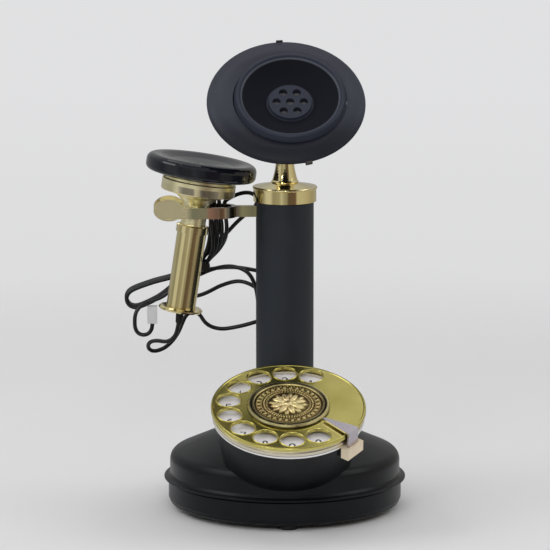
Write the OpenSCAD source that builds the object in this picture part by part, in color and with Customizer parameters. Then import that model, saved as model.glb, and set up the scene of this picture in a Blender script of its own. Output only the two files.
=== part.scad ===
// Desk telephone of the candlestick kind, with a rotary dial on the base and a receiver on a side hook.
// Origin: centre of the base's underside, on the column's axis. +Z up, the dial faces -Y.

/* [Base] */
// Radius of the base's upright wall
base_r = 73.3; // [72:0.1:76]
// How far the lip stands out from the wall
lip_out = 3.7; // [2:0.1:5]
// Height of the lip's top above the underside
lip_top = 17.2; // [16.5:0.1:18]
// Height of the lip's edge
lip_h = 1.4; // [1:0.1:2]
// Rounding at the tray's bottom edge
tray_round = 3; // [1:0.1:4]
// Height of the upright wall's top
wall_top = 27.6; // [25:0.1:30]
// Radius of the shoulder between wall and dome
shoulder_r = 7; // [5:0.1:9]
// Slope of the dome, in degrees
dome_slope = 23.7; // [22:0.1:25]
// Radius of the hollow sweep from the dome up to the neck
sweep_r = 25; // [22:0.5:27]
// Thickness of the shell's wall
shell_t = 2.4; // [1.8:0.1:3]
// Thickness of the tray's floor
floor_t = 2.4; // [2:0.1:3]
// Thickness of the ballast plate
ballast_h = 7; // [4:0.5:9]
// Radius of the ballast plate
ballast_r = 50; // [40:1:52]
// Radius of a rubber foot
foot_r = 6; // [5:0.1:6.5]
// Height of a rubber foot
foot_h = 3.5; // [3:0.1:5]
// Depth of the pocket that a foot is glued into
foot_seat = 0.6; // [0.4:0.1:1]

/* [Dial] */
// Tilt of the dial from level, in degrees
dial_tilt = 21.5; // [20:0.5:23]
// Distance of the dial's centre in front of the column's axis
dial_y = 66; // [66:0.1:68]
// Height of the dial's centre
dial_z = 74.9; // [74:0.1:76]
// Radius of the finger wheel
wheel_r = 48; // [46.5:0.1:48.4]
// Thickness of the finger wheel's disc
wheel_t = 1; // [0.8:0.1:1.2]
// Depth of the wheel's rolled rim below its top
rim_drop = 2.4; // [2:0.1:2.6]
// Number of finger holes
hole_count = 10; // [8:1:10]
// Radius of a finger hole
hole_r = 7.4; // [6.5:0.1:7.5]
// Thickness of the formed collar round a finger hole
collar_t = 0.8; // [0.6:0.05:0.8]
// Radius of the circle of finger holes
hole_ring_r = 37.5; // [37:0.1:38]
// Angle of the first hole, counted from +X
first_hole = 66; // [60:1:70]
// Angle between holes
hole_step = 25.714; // [25.5:0.01:26]
// Outer radius of the hub ring
hub_ring_r = 25.7; // [25:0.1:27]
// Radius of the hub medallion
medallion_r = 22.7; // [21:0.1:23]
// Distance from the wheel's top down to the number plate
plate_drop = 5; // [4.8:0.1:5.2]
// Outer radius of the trim ring under the wheel
trim_r = 47.2; // [47:0.1:47.8]
// Outer radius of the bezel ring on the trim ring
bezel_r = 46.4; // [46:0.1:46.8]
// Distance from the wheel's top down to the dial housing's rim
housing_drop = 8; // [7.8:0.1:8.4]
// Radius of the dial housing's rim
housing_r = 46; // [45.6:0.1:46.6]
// Radius of the dial housing's foot
housing_foot_r = 37; // [34:0.5:38]
// Radius of the dial's spindle
spindle_r = 3; // [2.5:0.1:3.5]
// Teeth of the dial gear
gear_teeth = 60; // [50:10:60]
// Teeth of the governor's pinion
pinion_teeth = 12; // [12:1:12]
// Gear module
gear_module = 0.5; // [0.4:0.05:0.5]
// Angle of the finger stop, counted from +X
stop_angle = -39; // [-42:1:-36]
// Width of the finger stop at the rim
stop_w = 9.6; // [8:0.1:10]
// Width of the finger stop at its inner end
stop_tip_w = 1.6; // [1.2:0.1:3]
// Thickness of the finger stop
stop_t = 1; // [0.8:0.1:1.2]
// Length of the stop block, along the rim
block_l = 15.5; // [14:0.1:17]
// Depth of the stop block, away from the rim
block_d = 5.5; // [5:0.1:7]
// Height of the stop block
block_h = 7; // [6:0.1:8]

/* [Column] */
// Radius of the column
column_r = 18.3; // [18:0.1:18.4]
// Wall of the column tube
column_t = 2.3; // [2:0.1:2.4]
// Height of the column tube's top
column_top = 200; // [198:0.5:204]
// How far the tube stands in the base's neck
column_seat = 12; // [8:0.5:14]
// Wall of the base's neck round the tube
neck_t = 2.1; // [1.8:0.1:2.5]
// Radius of the column cap
cap_r = 19.9; // [19.7:0.1:20.4]
// Length of the cap's skirt below the tube's top
cap_skirt = 6.5; // [5:0.1:7]
// Thickness of the cap's top
cap_top_t = 3; // [2.5:0.1:4]
// Rise of the cap's low dome
cap_rise = 2.2; // [1.5:0.1:3]
// Radius of the stem at its foot
stem_foot_r = 8; // [7.5:0.1:8.5]
// Radius of the stem at its narrowest
stem_r = 5.6; // [5:0.1:6]
// Height of the transmitter's tilt axis above the tube's top
tilt_rise = 28; // [27:0.5:30]
// Radius of the tilt lug and ears
lug_r = 6; // [5:0.1:6]
// Thickness of the tilt lug
lug_t = 6; // [5:0.1:7]
// Radius of the tilt pin
tilt_pin_r = 2; // [1.5:0.1:2.5]

/* [Transmitter] */
// Angle of the mouthpiece's axis from straight up, in degrees
mouth_tilt = 43.6; // [40:0.5:46]
// Distance of the mouthpiece's rim in front of the column's axis
mouth_y = 22; // [21:0.1:23]
// Height of the mouthpiece rim's centre above the tilt axis
mouth_rise = 30.3; // [29.5:0.1:31]
// Radius of the brim
brim_r = 49.5; // [48:0.1:51]
// Rise of the brim from its edge to its inner circle
brim_rise = 3.4; // [3:0.1:4]
// Thickness of the brim
brim_t = 2; // [1.6:0.1:2.2]
// Radius of the mouth cup's crest
crest_r = 32.2; // [31.5:0.1:32.8]
// Height of the mouth cup's crest above the brim's edge
crest_h = 7.7; // [7:0.1:9]
// How far the mouth cup sits to the side of the brim's axis
cup_offset = 2.5; // [0:0.1:2.6]
// Radius of the pierced boss in the cup
boss_r = 13.8; // [13:0.1:15]
// Radius of a hole in the boss
sound_hole_r = 2.6; // [2:0.1:2.8]
// Distance between neighbouring holes in the boss
sound_pitch = 8.5; // [8:0.1:9]
// Radius of the back shell at the brim
back_r = 36; // [35:0.5:38]
// Radius of the back shell's flat end
back_end_r = 22; // [20:0.5:24]
// Depth of the back shell
back_d = 25; // [24:0.5:26]

/* [Hook] */
// Height of the hook bar's middle
hook_z = 187; // [186:0.5:188]
// Height of the hook bar
bar_h = 7; // [6:0.1:7.5]
// Thickness of a tine
tine_t = 3; // [2.5:0.1:3.2]
// Half of the gap between the tines
fork_half = 8.4; // [8.3:0.1:9]
// Distance of the fork's bend centre from the column's axis
fork_x = 42; // [41:0.5:43]
// Distance of the paddles' middle from the column's axis
paddle_x = 73.2; // [71:0.1:75]
// Half length of a paddle
paddle_rx = 9.7; // [9:0.1:10.5]
// Half height of a paddle
paddle_rz = 6.7; // [6:0.1:7.5]
// Radius of the hook's pivot pin
hook_pin_r = 1.5; // [1.2:0.1:2]
// Travel of the hook, in degrees
hook_travel = 7; // [5:0.5:7]

/* [Receiver] */
// Lean of the receiver from upright, in degrees
receiver_lean = 8.5; // [7:0.5:9]
// Distance of the receiver's neck from the column's axis
neck_x = 56.5; // [56:0.1:58]
// Radius of the cup's neck
cup_neck_r = 7.9; // [7.4:0.1:8]
// Radius of the cup's band
cup_r = 23.4; // [22.5:0.1:24.5]
// Height of the cup's band
cup_band_h = 6.8; // [6:0.1:8]
// Height of the cup's trumpet, from neck to band
cup_flare_h = 10.8; // [10:0.1:12]
// Radius of the ear cap
ear_r = 35; // [33:0.1:36]
// Thickness of the ear cap
ear_h = 12; // [11:0.1:13]
// Radius of the barrel
barrel_r = 9.3; // [9:0.1:9.6]
// Length of the barrel
barrel_l = 53.1; // [50:0.1:54]
// Wall of the barrel
barrel_t = 1.8; // [1.4:0.1:2.2]
// Radius of the collar at the barrel's top
barrel_collar_r = 10.2; // [10:0.1:11]
// Radius of the tail flange
tail_r = 14; // [13:0.1:15]
// Thickness of the tail flange
tail_h = 2.6; // [2:0.1:3.5]

/* [Cords] */
// Diameter of the cords
cord_d = 2.6; // [2.2:0.1:2.8]
// Number of loops in the hank
hank_loops = 5; // [4:1:5]
// Distance between neighbouring loops, middle to middle
hank_pitch = 3.1; // [3.05:0.05:3.2]
// Length of the modular plug
plug_l = 11; // [10:0.5:12]
// Width of the modular plug
plug_w = 6.4; // [6:0.1:7.7]
// Thickness of the modular plug
plug_t = 5.6; // [5:0.1:6.6]

/* [Hidden] */
$fn = 64;

fit = 0.1;       // gap between still pieces that slide together
seat = 0.02;     // gap between flat faces of the dial's stack
run_fit = 0.05;  // radial gap of a running shaft
air = 0.3;       // gap between pieces that move past each other

// Derived heights and radii of the base
tray_r = base_r + 1;
foot_ring_r = base_r - 9.3;
boss_screw_r = base_r - 11.3;
screw_head_r = 2.9;
screw_head_h = 1.2;
screw_seat = 1.4;
neck_r = column_r + fit + neck_t;
shoulder_end = [base_r - shoulder_r + shoulder_r * sin(dome_slope), wall_top + shoulder_r * cos(dome_slope)];
sweep_start_r = neck_r + sweep_r * (1 - sin(dome_slope));
sweep_start_z = shoulder_end[1] + (shoulder_end[0] - sweep_start_r) * tan(dome_slope);
neck_z = sweep_start_z + sweep_r * cos(dome_slope);
shell_bottom = lip_top - lip_h;
tray_top = shell_bottom - 0.8;
column_foot = neck_z - column_seat;
tube_bore_r = column_r - column_t;
gland_z = wall_top - 4.2;
gland_x = 8;

// Derived heights along the dial's axis, with 0 at the wheel's top
disc_top = -0.4;
disc_low = disc_top - wheel_t;
plate_t = 1.2;
trim_h = 3.4;
bezel_h = 1.6;
trim_top = -housing_drop + trim_h;
housing_bore_r = housing_r - 2.9;
ledge_w = -housing_drop - 4;
frame_t = 1.6;
gear_w = ledge_w - 5;
gear_t = 2;
low_plate_w = ledge_w - 21;
gear_r = gear_module * gear_teeth / 2;
pinion_r = gear_module * pinion_teeth / 2;
gear_gap = gear_r + pinion_r + 0.1;
post_ring_r = 24.5;
stop_foot_r = wheel_r + 0.8;
block_top = -housing_drop - 0.5;
pad_r = housing_r + 0.3;

// Derived heights of the tilt axis and the mouthpiece
tilt_z = column_top + tilt_rise;
mouth_z = tilt_z + mouth_rise;

// Derived places along the mouthpiece's axis, with 0 at the brim's edge
brim_in_r = back_r + 2.3;
cup_wall_r = brim_in_r - cup_offset - 0.6;
ear_half = lug_r - 0.6;
pivot_v = mouth_y * cos(mouth_tilt) - (mouth_z - tilt_z) * sin(mouth_tilt);
pivot_w = -mouth_y * sin(mouth_tilt) - (mouth_z - tilt_z) * cos(mouth_tilt);

// Derived places along the receiver's axis, with 0 at the neck
neck_low = -1.2;
band_low = neck_low + cup_flare_h;
band_top = band_low + cup_band_h + 1;
ear_low = band_top + 2;
barrel_top = -11;
barrel_low = barrel_top - barrel_l;
tail_low = barrel_low - tail_h;
gland_l = 8;
spigot_l = 5;

// Derived places of the hook
bar_low = hook_z - bar_h / 2;
bar_top = hook_z + bar_h / 2;
tine_mid = fork_half + tine_t / 2;
slide_rise = 5;
inner_arm = 11;
plunger_x = 9;
cheek_in = 2.6;
cheek_out = 4.6;
frame_floor = 168;

function arc(c, r, from, to, steps) =
    [for (i = [0 : steps]) let (a = from + (to - from) * i / steps) c + r * [cos(a), sin(a)]];
function ellipse(rx, ry, steps) =
    [for (i = [0 : steps - 1]) let (a = 360 * i / steps) [rx * cos(a), ry * sin(a)]];
function unit(v) = v / norm(v);
function mix(a, b, f) = a * (1 - f) + b * f;

// ---- Placing ----

module at_dial(w = 0) {
    translate([0, -dial_y, dial_z]) rotate([dial_tilt, 0, 0]) translate([0, 0, w]) children();
}

module at_mouth() {
    translate([0, -mouth_y, mouth_z]) rotate([mouth_tilt, 0, 0]) children();
}

module at_receiver(s = 0) {
    translate([-neck_x, 0, hook_z + 2.4]) rotate([0, receiver_lean, 0]) translate([0, 0, s]) children();
}

module ring(outer, inner, h) {
    difference() {
        cylinder(r = outer, h = h);
        translate([0, 0, -1]) cylinder(r = inner, h = h + 2);
    }
}

// ---- Base ----

// Outline of the shell from its lip to its neck, moved inwards by the given thickness
function shell_line(off) = concat(
    [[base_r - off, wall_top]],
    arc([base_r - shoulder_r, wall_top], shoulder_r - off, 0, 90 - dome_slope, 6),
    arc([neck_r + sweep_r, neck_z], sweep_r + off, 270 - dome_slope, 180, 10));

module dome_solid() {
    rotate_extrude() polygon(concat(
        [[0, shell_bottom], [base_r + lip_out - 0.4, shell_bottom], [base_r + lip_out, shell_bottom + 0.4],
         [base_r + lip_out, lip_top - 0.4], [base_r + lip_out - 0.5, lip_top], [base_r + 1, lip_top + 0.8],
         [base_r, lip_top + 2.4]],
        shell_line(0), [[0, neck_z]]));
}

// The hollow ends under the ledge that the column tube stands on
module dome_hollow() {
    rotate_extrude() intersection() {
        polygon(concat([[0, shell_bottom - 1], [base_r - shell_t, shell_bottom - 1]],
            shell_line(shell_t), [[0, neck_z]]));
        square([base_r, column_foot - 3]);
    }
}

// The dial housing runs from the tilted rim down into the front of the base
module housing(off, top) {
    hull() {
        at_dial(-housing_drop - top - 1) cylinder(r = housing_r - off, h = 1, $fn = 72);
        translate([0, -(base_r + 0.4 - housing_foot_r), wall_top - 5])
            cylinder(r = housing_foot_r - off, h = 1, $fn = 72);
    }
}

module base_shell() {
    color("#1d1e22") difference() {
        union() {
            dome_solid();
            housing(0, 0);
            stop_pad();
        }
        dome_hollow();
        housing(4.2, 2.4);
        at_dial(ledge_w) cylinder(r = housing_bore_r, h = 20);
        translate([0, 0, column_foot]) cylinder(r = column_r + fit, h = 60);
        translate([0, 0, column_foot - 20]) cylinder(r = tube_bore_r - 1, h = 30);
        for (x = [-gland_x, gland_x])
            translate([x, base_r - 12, gland_z]) rotate([-90, 0, 0]) cylinder(r = 3, h = 20);
    }
}

// Flat pad on the housing's side that carries the stop block
module stop_pad() {
    at_dial(block_top - block_h) rotate(stop_angle)
        translate([pad_r - 9, -block_l / 2 + 1, 0]) cube([9, block_l - 2, block_h]);
}

module base_tray() {
    color("#1d1e22") difference() {
        rotate_extrude() polygon(concat(
            [[0, 0]], arc([tray_r - 0.6 - tray_round, tray_round], tray_round, -90, 0, 5),
            [[tray_r, tray_round + 1], [tray_r, tray_top - 0.6], [tray_r - 0.6, tray_top],
             [tray_r - 0.8, shell_bottom], [tray_r - 3.2, shell_bottom], [tray_r - 3.2, floor_t],
             [0, floor_t]]));
        for (a = [45 : 90 : 315]) rotate(a) translate([boss_screw_r, 0, -1]) {
            cylinder(r = 1.7, h = 10);
            cylinder(r = screw_head_r + fit, h = screw_seat + 1);
        }
        for (a = [0 : 90 : 270])
            rotate(a) translate([foot_ring_r, 0, -1]) cylinder(r = foot_r + fit, h = foot_seat + 1);
    }
}

// The feet stand in the tray's pockets
module rubber_feet() {
    top = foot_h + foot_seat;
    color("#141414") for (a = [0 : 90 : 270]) rotate(a) translate([foot_ring_r, 0, -foot_h])
        rotate_extrude() polygon([[0, 0], [foot_r - 0.8, 0], [foot_r, 0.8], [foot_r, top], [0, top]]);
}

module base_screws() {
    color("silver") for (a = [45 : 90 : 315]) rotate(a) translate([boss_screw_r, 0, 0]) {
        translate([0, 0, screw_seat - screw_head_h]) cylinder(r = screw_head_r, h = screw_head_h);
        translate([0, 0, screw_seat]) cylinder(r = 1.6, h = floor_t - screw_seat + 5);
    }
}

module ballast_plate() {
    color("#4a4a4d") translate([0, 0, floor_t]) ring(ballast_r, 9, ballast_h);
}

module circuit_board() {
    color("#22603a") translate([0, 0, floor_t + ballast_h]) {
        for (x = [-24, 24], y = [16, 34]) translate([x, y, 0]) cylinder(r = 2, h = 4);
        translate([-30, 10, 4]) cube([60, 30, 1.6]);
        translate([-20, 16, 5.6]) cube([12, 12, 5]);
        translate([4, 18, 5.6]) cube([16, 8, 3]);
    }
}

module ringer() {
    color("#303236") translate([-30, -14, floor_t + ballast_h]) {
        ring(13, 2, 8);
        cylinder(r = 13, h = 2);
    }
}

module cord_glands() {
    color("#151517") for (x = [-gland_x, gland_x]) translate([x, 0, gland_z]) rotate([-90, 0, 0]) {
        translate([0, 0, base_r - shell_t - 1]) cylinder(r = 2.9, h = shell_t + 1.2);
        translate([0, 0, base_r + 0.1]) cylinder(r = 3.7, h = 1.3);
        translate([0, 0, base_r + 1.4]) cylinder(r1 = 3, r2 = 2.1, h = 8);
    }
}

// ---- Column ----

module column_tube() {
    color("#25272e") difference() {
        translate([0, 0, column_foot]) ring(column_r, tube_bore_r, column_top - column_foot);
        translate([-column_r - 2, -cheek_in - 0.6, bar_low - 1])
            cube([column_r - 4, 2 * cheek_in + 1.2, bar_h + 2 + column_r * tan(hook_travel)]);
    }
}

module column_cap() {
    color("#c9a227") difference() {
        union() {
            translate([0, 0, column_top - cap_skirt]) cylinder(r = cap_r, h = cap_skirt + cap_top_t);
            translate([0, 0, column_top + cap_top_t - 0.9]) rotate_extrude()
                translate([cap_r - 0.3, 0]) circle(r = 0.9);
            translate([0, 0, column_top + cap_top_t])
                cylinder(r1 = cap_r - 1.6, r2 = stem_foot_r + 0.6, h = cap_rise);
        }
        translate([0, 0, column_top - cap_skirt - 1]) cylinder(r = column_r + fit, h = cap_skirt + 1);
        translate([0, 0, column_top - 1]) cylinder(r = 5, h = 12);
    }
}

module stem() {
    foot = column_top + cap_top_t + cap_rise;
    lug_low = tilt_z - lug_r;
    color("#d4ac35") difference() {
        union() {
            translate([0, 0, column_top]) cylinder(r = 5 - fit, h = foot - column_top + 1);
            rotate_extrude() polygon(concat(
                [[0, foot], [stem_foot_r + 0.4, foot], [stem_foot_r + 0.7, foot + 0.8],
                 [stem_foot_r, foot + 1.6]],
                [for (i = [1 : 8]) [stem_r + (stem_foot_r - stem_r) * pow(1 - i / 8, 2),
                                    foot + 1.6 + (lug_low - air - foot - 1.6) * i / 8]],
                [[0, lug_low - air]]));
            translate([-lug_t / 2, -stem_r + 0.6, lug_low - 1.4]) cube([lug_t, 2 * stem_r - 1.2, lug_r]);
            translate([-lug_t / 2, 0, tilt_z]) rotate([0, 90, 0]) cylinder(r = lug_r, h = lug_t);
        }
        translate([-lug_t, 0, tilt_z]) rotate([0, 90, 0]) cylinder(r = tilt_pin_r + run_fit, h = 2 * lug_t);
    }
}

module tilt_pin() {
    color("#b08d2a") translate([-lug_t / 2 - 4.2, 0, tilt_z]) rotate([0, 90, 0]) {
        cylinder(r = tilt_pin_r, h = lug_t + 8.4);
        translate([0, 0, -1.4]) cylinder(r = tilt_pin_r + 1.2, h = 1.4);
        translate([0, 0, lug_t + 8.4]) cylinder(r = tilt_pin_r + 1.2, h = 1.4);
    }
}

// ---- Hook and switch ----

module hook_fork_outline() {
    translate([-fork_x + fork_half + 1, -2.2]) square([fork_x - fork_half - 1 + inner_arm, 4.4]);
    translate([-fork_x, 0]) intersection() {
        difference() {
            circle(r = fork_half + tine_t);
            circle(r = fork_half);
        }
        translate([0, -20]) square([40, 40]);
    }
    for (side = [-1, 1]) translate([-paddle_x, side > 0 ? fork_half : -fork_half - tine_t])
        square([paddle_x - fork_x, tine_t]);
}

// The paddles' inner top edges are bevelled, so that the cup's neck slides out over them
module cup_passage() {
    translate([-neck_x, 0, hook_z + 2.4]) rotate([0, slide_rise, 0]) translate([-34, 0, 0])
        rotate([90, 0, 90]) linear_extrude(28) polygon([
            [-tine_mid - 2, 6], [-tine_mid - 0.1, 4], [-fork_half - 0.6, 2.5], [-fork_half, 1.2], [0, -0.5],
            [fork_half, 1.2], [fork_half + 0.6, 2.5], [tine_mid + 0.1, 4], [tine_mid + 2, 6], [0, 20]]);
}

module hook_lever() {
    color("#cfa52e") difference() {
        union() {
            translate([0, 0, bar_low]) linear_extrude(bar_h) hook_fork_outline();
            for (y = [-fork_half, fork_half + tine_t])
                translate([-paddle_x, y, hook_z + 1.9]) rotate([90, 0, 0])
                    linear_extrude(tine_t) polygon(ellipse(paddle_rx, paddle_rz, 48));
        }
        for (i = [-3 : 3]) translate([-paddle_x - 12, -fork_half - tine_t - 1, hook_z + 1.7 + i * 1.7])
            cube([24, 1.35, 0.4]);
        cup_passage();
        translate([0, -10, hook_z]) rotate([-90, 0, 0]) cylinder(r = hook_pin_r + run_fit, h = 20);
    }
}

module hook_pin() {
    color("silver") translate([0, -cheek_out, hook_z]) rotate([-90, 0, 0])
        cylinder(r = hook_pin_r, h = 2 * cheek_out);
}

module switch_frame() {
    top = column_top - 3;
    color("#8a8d92") difference() {
        union() {
            translate([0, 0, top]) cylinder(r = tube_bore_r - fit, h = 3);
            for (y = [cheek_in, -cheek_out])
                translate([-10, y, frame_floor]) cube([22.5, cheek_out - cheek_in, top - frame_floor]);
            translate([-10, -cheek_out, frame_floor]) cube([22.5, 2 * cheek_out, 2]);
            translate([plunger_x - 3.4, -cheek_in, frame_floor + 6]) cube([6.8, 2 * cheek_in, 5]);
        }
        translate([0, 0, top - 1]) cylinder(r = 5, h = 5);
        translate([0, -10, hook_z]) rotate([-90, 0, 0]) cylinder(r = hook_pin_r + 0.02, h = 20);
        translate([plunger_x, 0, frame_floor + 5]) cylinder(r = 2 + run_fit, h = 8);
    }
}

module switch_contacts() {
    color("#6b3f1d") translate([-8, -2.3, frame_floor + 2]) cube([9, 4.6, 5]);
    color("#c8a24a") translate([1, -1.5, frame_floor + 2.6]) cube([10, 3, 0.4]);
}

module switch_plunger() {
    low = frame_floor + 4.6;
    color("white") translate([plunger_x, 0, low]) cylinder(r = 2, h = bar_low - air - low);
}

// ---- Dial, still pieces ----

module dial_frame() {
    color("#a9acb0") at_dial() difference() {
        union() {
            translate([0, 0, ledge_w]) cylinder(r = housing_bore_r - fit, h = frame_t);
            translate([0, 0, ledge_w]) cylinder(r = 6, h = frame_t + 1.6);
            translate([0, 0, low_plate_w]) cylinder(r = post_ring_r + 2, h = frame_t);
            for (a = [50, 130, 230, 310]) rotate(a) translate([post_ring_r - 0.6, 0, low_plate_w])
                cylinder(r = 1.8, h = ledge_w - low_plate_w + 0.5);
            translate([spring_out() + 1.35, 0, low_plate_w]) cylinder(r = 1.2, h = 13);
        }
        translate([0, 0, low_plate_w - 5]) cylinder(r = spindle_r + run_fit, h = 60);
        translate([-gear_gap, 0, low_plate_w - 5]) cylinder(r = 1.2 + run_fit, h = 60);
    }
}

function spring_in() = 4.4;
function spring_out() = 12.4;

module return_spring() {
    turns = 4;
    steps = 24 * turns;
    wire = 0.7;
    function coil(i, off) = let (a = 360 * turns * i / steps, r = mix(spring_in(), spring_out() - wire, i / steps) + off)
        [r * cos(a), r * sin(a)];
    color("#5f6368") at_dial(gear_w - 6) linear_extrude(3) polygon(concat(
        [for (i = [0 : steps]) coil(i, wire)], [for (i = [steps : -1 : 0]) coil(i, 0)]));
}

module number_plate() {
    color("#e9e6f2") at_dial(-plate_drop - plate_t) ring(trim_r - 2.7, 8, plate_t);
}

module trim_ring() {
    color("#e4e4e8") at_dial(-housing_drop) difference() {
        cylinder(r = trim_r, h = trim_h);
        translate([0, 0, -1]) cylinder(r = trim_r - 4, h = trim_h + 2);
        translate([0, 0, housing_drop - plate_drop - plate_t]) cylinder(r = trim_r - 2.6, h = trim_h);
    }
}

module bezel_ring() {
    color("#77797d") at_dial(trim_top) ring(bezel_r, trim_r - 3.4, bezel_h);
}

module finger_stop() {
    drop = 1.9 - block_top + 4;
    color("#c9c6d6") at_dial() rotate(stop_angle) {
        translate([0, 0, 1.9 - stop_t]) linear_extrude(stop_t) polygon([
            [hub_ring_r + 1.4, -stop_tip_w / 2], [stop_foot_r - 2, -stop_w / 2], [stop_foot_r + stop_t, -stop_w / 2],
            [stop_foot_r + stop_t, stop_w / 2], [stop_foot_r - 2, stop_w / 2], [hub_ring_r + 1.4, stop_tip_w / 2]]);
        translate([stop_foot_r, -stop_w / 2, 1.9 - drop]) cube([stop_t, stop_w, drop]);
    }
}

module stop_block() {
    color("#e8e2d0") at_dial(block_top - block_h) rotate(stop_angle) difference() {
        translate([pad_r, -block_l / 2, 0]) cube([block_d, block_l, block_h]);
        translate([stop_foot_r - fit, -stop_w / 2 - fit, block_h - 4 - fit])
            cube([stop_t + 2 * fit, stop_w + 2 * fit, 6]);
    }
}

// ---- Dial, turning pieces ----

// Outline of the wheel's disc with its rolled rim
wheel_line = concat(
    [[0, disc_low], [0, disc_top]], arc([wheel_r - 0.9, -0.9], 0.9, 146, 0, 6),
    [[wheel_r, -rim_drop], [wheel_r - 0.9, -rim_drop], [wheel_r - 0.9, disc_low]]);

// Outline of the formed collar of a finger hole, rolled over at its top
collar_line = concat(
    [[hole_r, disc_low - 0.6]], arc([hole_r + collar_t / 2, -collar_t / 2], collar_t / 2, 180, 0, 6),
    [[hole_r + collar_t, disc_low - 0.6]]);

module finger_wheel() {
    color("#c9b552") at_dial() {
        difference() {
            rotate_extrude() polygon(wheel_line);
            for (i = [0 : hole_count - 1]) rotate(first_hole + i * hole_step)
                translate([hole_ring_r, 0, -6]) cylinder(r = hole_r + collar_t * 0.6, h = 12);
            translate([0, 0, -6]) cylinder(r = spindle_r + run_fit, h = 12);
        }
        for (i = [0 : hole_count - 1]) rotate(first_hole + i * hole_step)
            translate([hole_ring_r, 0, 0]) rotate_extrude() polygon(collar_line);
    }
}

module hub_ring() {
    color("#d8b64a") at_dial(disc_top + seat) rotate_extrude() polygon([
        [medallion_r + fit, 0], [hub_ring_r, 0], [hub_ring_r, 0.8], [hub_ring_r - 0.9, 2.3],
        [medallion_r + 0.9, 2.3], [medallion_r + fit, 1.5]]);
}

module hub_medallion() {
    petal_l = 6.2;
    boss = 2.2;
    color("#a8742a") at_dial(disc_top + seat) union() {
        rotate_extrude() polygon([
            [0, 0], [medallion_r, 0], [medallion_r, 1.9], [medallion_r - 1.2, 2.4], [medallion_r - 2.2, 1.8],
            [medallion_r * 0.68, 1.8], [medallion_r * 0.66, 2.3], [medallion_r * 0.6, 2.3], [medallion_r * 0.57, 1.6],
            [boss, 1.6], [boss * 0.9, 2.3], [boss * 0.6, 2.9], [boss * 0.3, 3.2], [0, 3.3]]);
        for (i = [0 : 29]) rotate(i * 12) translate([medallion_r * 0.8, 0, 0]) cylinder(r = 0.8, h = 2.3, $fn = 16);
        for (i = [0 : 7]) rotate(i * 45) translate([boss + 0.7, 0, 1]) linear_extrude(1.4) intersection() {
            translate([petal_l / 2, 3.9]) circle(r = 5);
            translate([petal_l / 2, -3.9]) circle(r = 5);
        }
    }
}

module dial_spindle() {
    color("silver") at_dial() {
        translate([0, 0, low_plate_w - 1]) cylinder(r = spindle_r, h = disc_top - low_plate_w + 1);
        translate([0, 0, disc_low - 1]) cylinder(r = 7, h = 1);
    }
}

function tooth_line(teeth, mod, r) = [for (i = [0 : teeth - 1], p = [0 : 3])
    let (a = 360 / teeth * (i + [-0.36, -0.13, 0.13, 0.36][p]), q = r + mod * [-1.2, 0.9, 0.9, -1.2][p])
    [q * cos(a), q * sin(a)]];

module dial_gear() {
    color("#c8a24a") at_dial(gear_w) difference() {
        union() {
            linear_extrude(gear_t) polygon(tooth_line(gear_teeth, gear_module, gear_r));
            translate([0, 0, -1.5]) cylinder(r = 5, h = gear_t + 3);
        }
        translate([0, 0, -5]) cylinder(r = spindle_r + 0.02, h = 20);
    }
}

module governor() {
    color("#8d9095") at_dial() translate([-gear_gap, 0, 0]) {
        translate([0, 0, low_plate_w]) cylinder(r = 1.2, h = ledge_w + frame_t - low_plate_w);
        translate([0, 0, gear_w - 0.5]) linear_extrude(gear_t + 1)
            rotate(180 / pinion_teeth) polygon(tooth_line(pinion_teeth, gear_module, pinion_r));
        translate([0, 0, low_plate_w + frame_t + 0.6]) cylinder(r = 5.2, h = 4.6);
    }
}

// ---- Receiver ----

module ear_cap() {
    color("#17181b") at_receiver(ear_low) difference() {
        rotate_extrude() polygon(concat(
            [[0, 0], [cup_r + 3, 0], [ear_r - 3.6, 1.4]], arc([ear_r - 3.4, 4.8], 3.4, -80, 0, 5),
            arc([ear_r - 4.2, ear_h - 4.2], 4.2, 0, 90, 6),
            [[ear_r - 8, ear_h - 0.3], [ear_r - 15, ear_h - 2.4], [9, ear_h - 3.6], [0, ear_h - 3.8]]));
        translate([0, 0, -1]) cylinder(r = cup_r - 1.2, h = 3);
        for (i = [0 : 5]) rotate(60 * i) translate([4.6, 0, 0]) cylinder(r = 1.1, h = 20, $fn = 24);
        cylinder(r = 1.1, h = 20, $fn = 24);
    }
}

module earpiece() {
    color("#6f7276") at_receiver(ear_low + 0.1) {
        translate([0, 0, -6]) cylinder(r = cup_r - 3.2, h = 6);
        cylinder(r = cup_r - 1.6, h = 1.8);
    }
}

module receiver_cup() {
    inner_r = cup_r - 2.6;
    color("#d0a730") at_receiver() difference() {
        rotate_extrude() polygon(concat(
            [[0, barrel_top - spigot_l], [cup_neck_r, barrel_top - spigot_l], [cup_neck_r, neck_low]],
            [for (a = [15 : 15 : 90])
                [cup_neck_r + (cup_r - 0.6 - cup_neck_r) * (1 - cos(a)), neck_low + cup_flare_h * sin(a)]],
            [[cup_r, band_low + 0.6], [cup_r, band_top - 0.6], [cup_r - 0.6, band_top], [cup_r - 1.4, band_top],
             [cup_r - 1.4, ear_low], [0, ear_low]]));
        translate([0, 0, band_top - 4.4]) cylinder(r = inner_r, h = 20);
        translate([0, 0, barrel_top - spigot_l - 1]) cylinder(r = 3, h = 40);
    }
}

module receiver_barrel() {
    color("#d6ae38") at_receiver(barrel_low) difference() {
        union() {
            cylinder(r = barrel_r, h = barrel_l);
            translate([0, 0, barrel_l - 5]) cylinder(r = barrel_collar_r, h = 4.4);
            translate([0, 0, barrel_l - 0.6]) cylinder(r1 = barrel_collar_r, r2 = barrel_collar_r - 0.6, h = 0.6);
        }
        translate([0, 0, -1]) cylinder(r = barrel_r - barrel_t, h = barrel_l + 2);
        translate([0, 0, barrel_l - spigot_l]) cylinder(r = cup_neck_r + fit, h = spigot_l + 1);
    }
}

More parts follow.
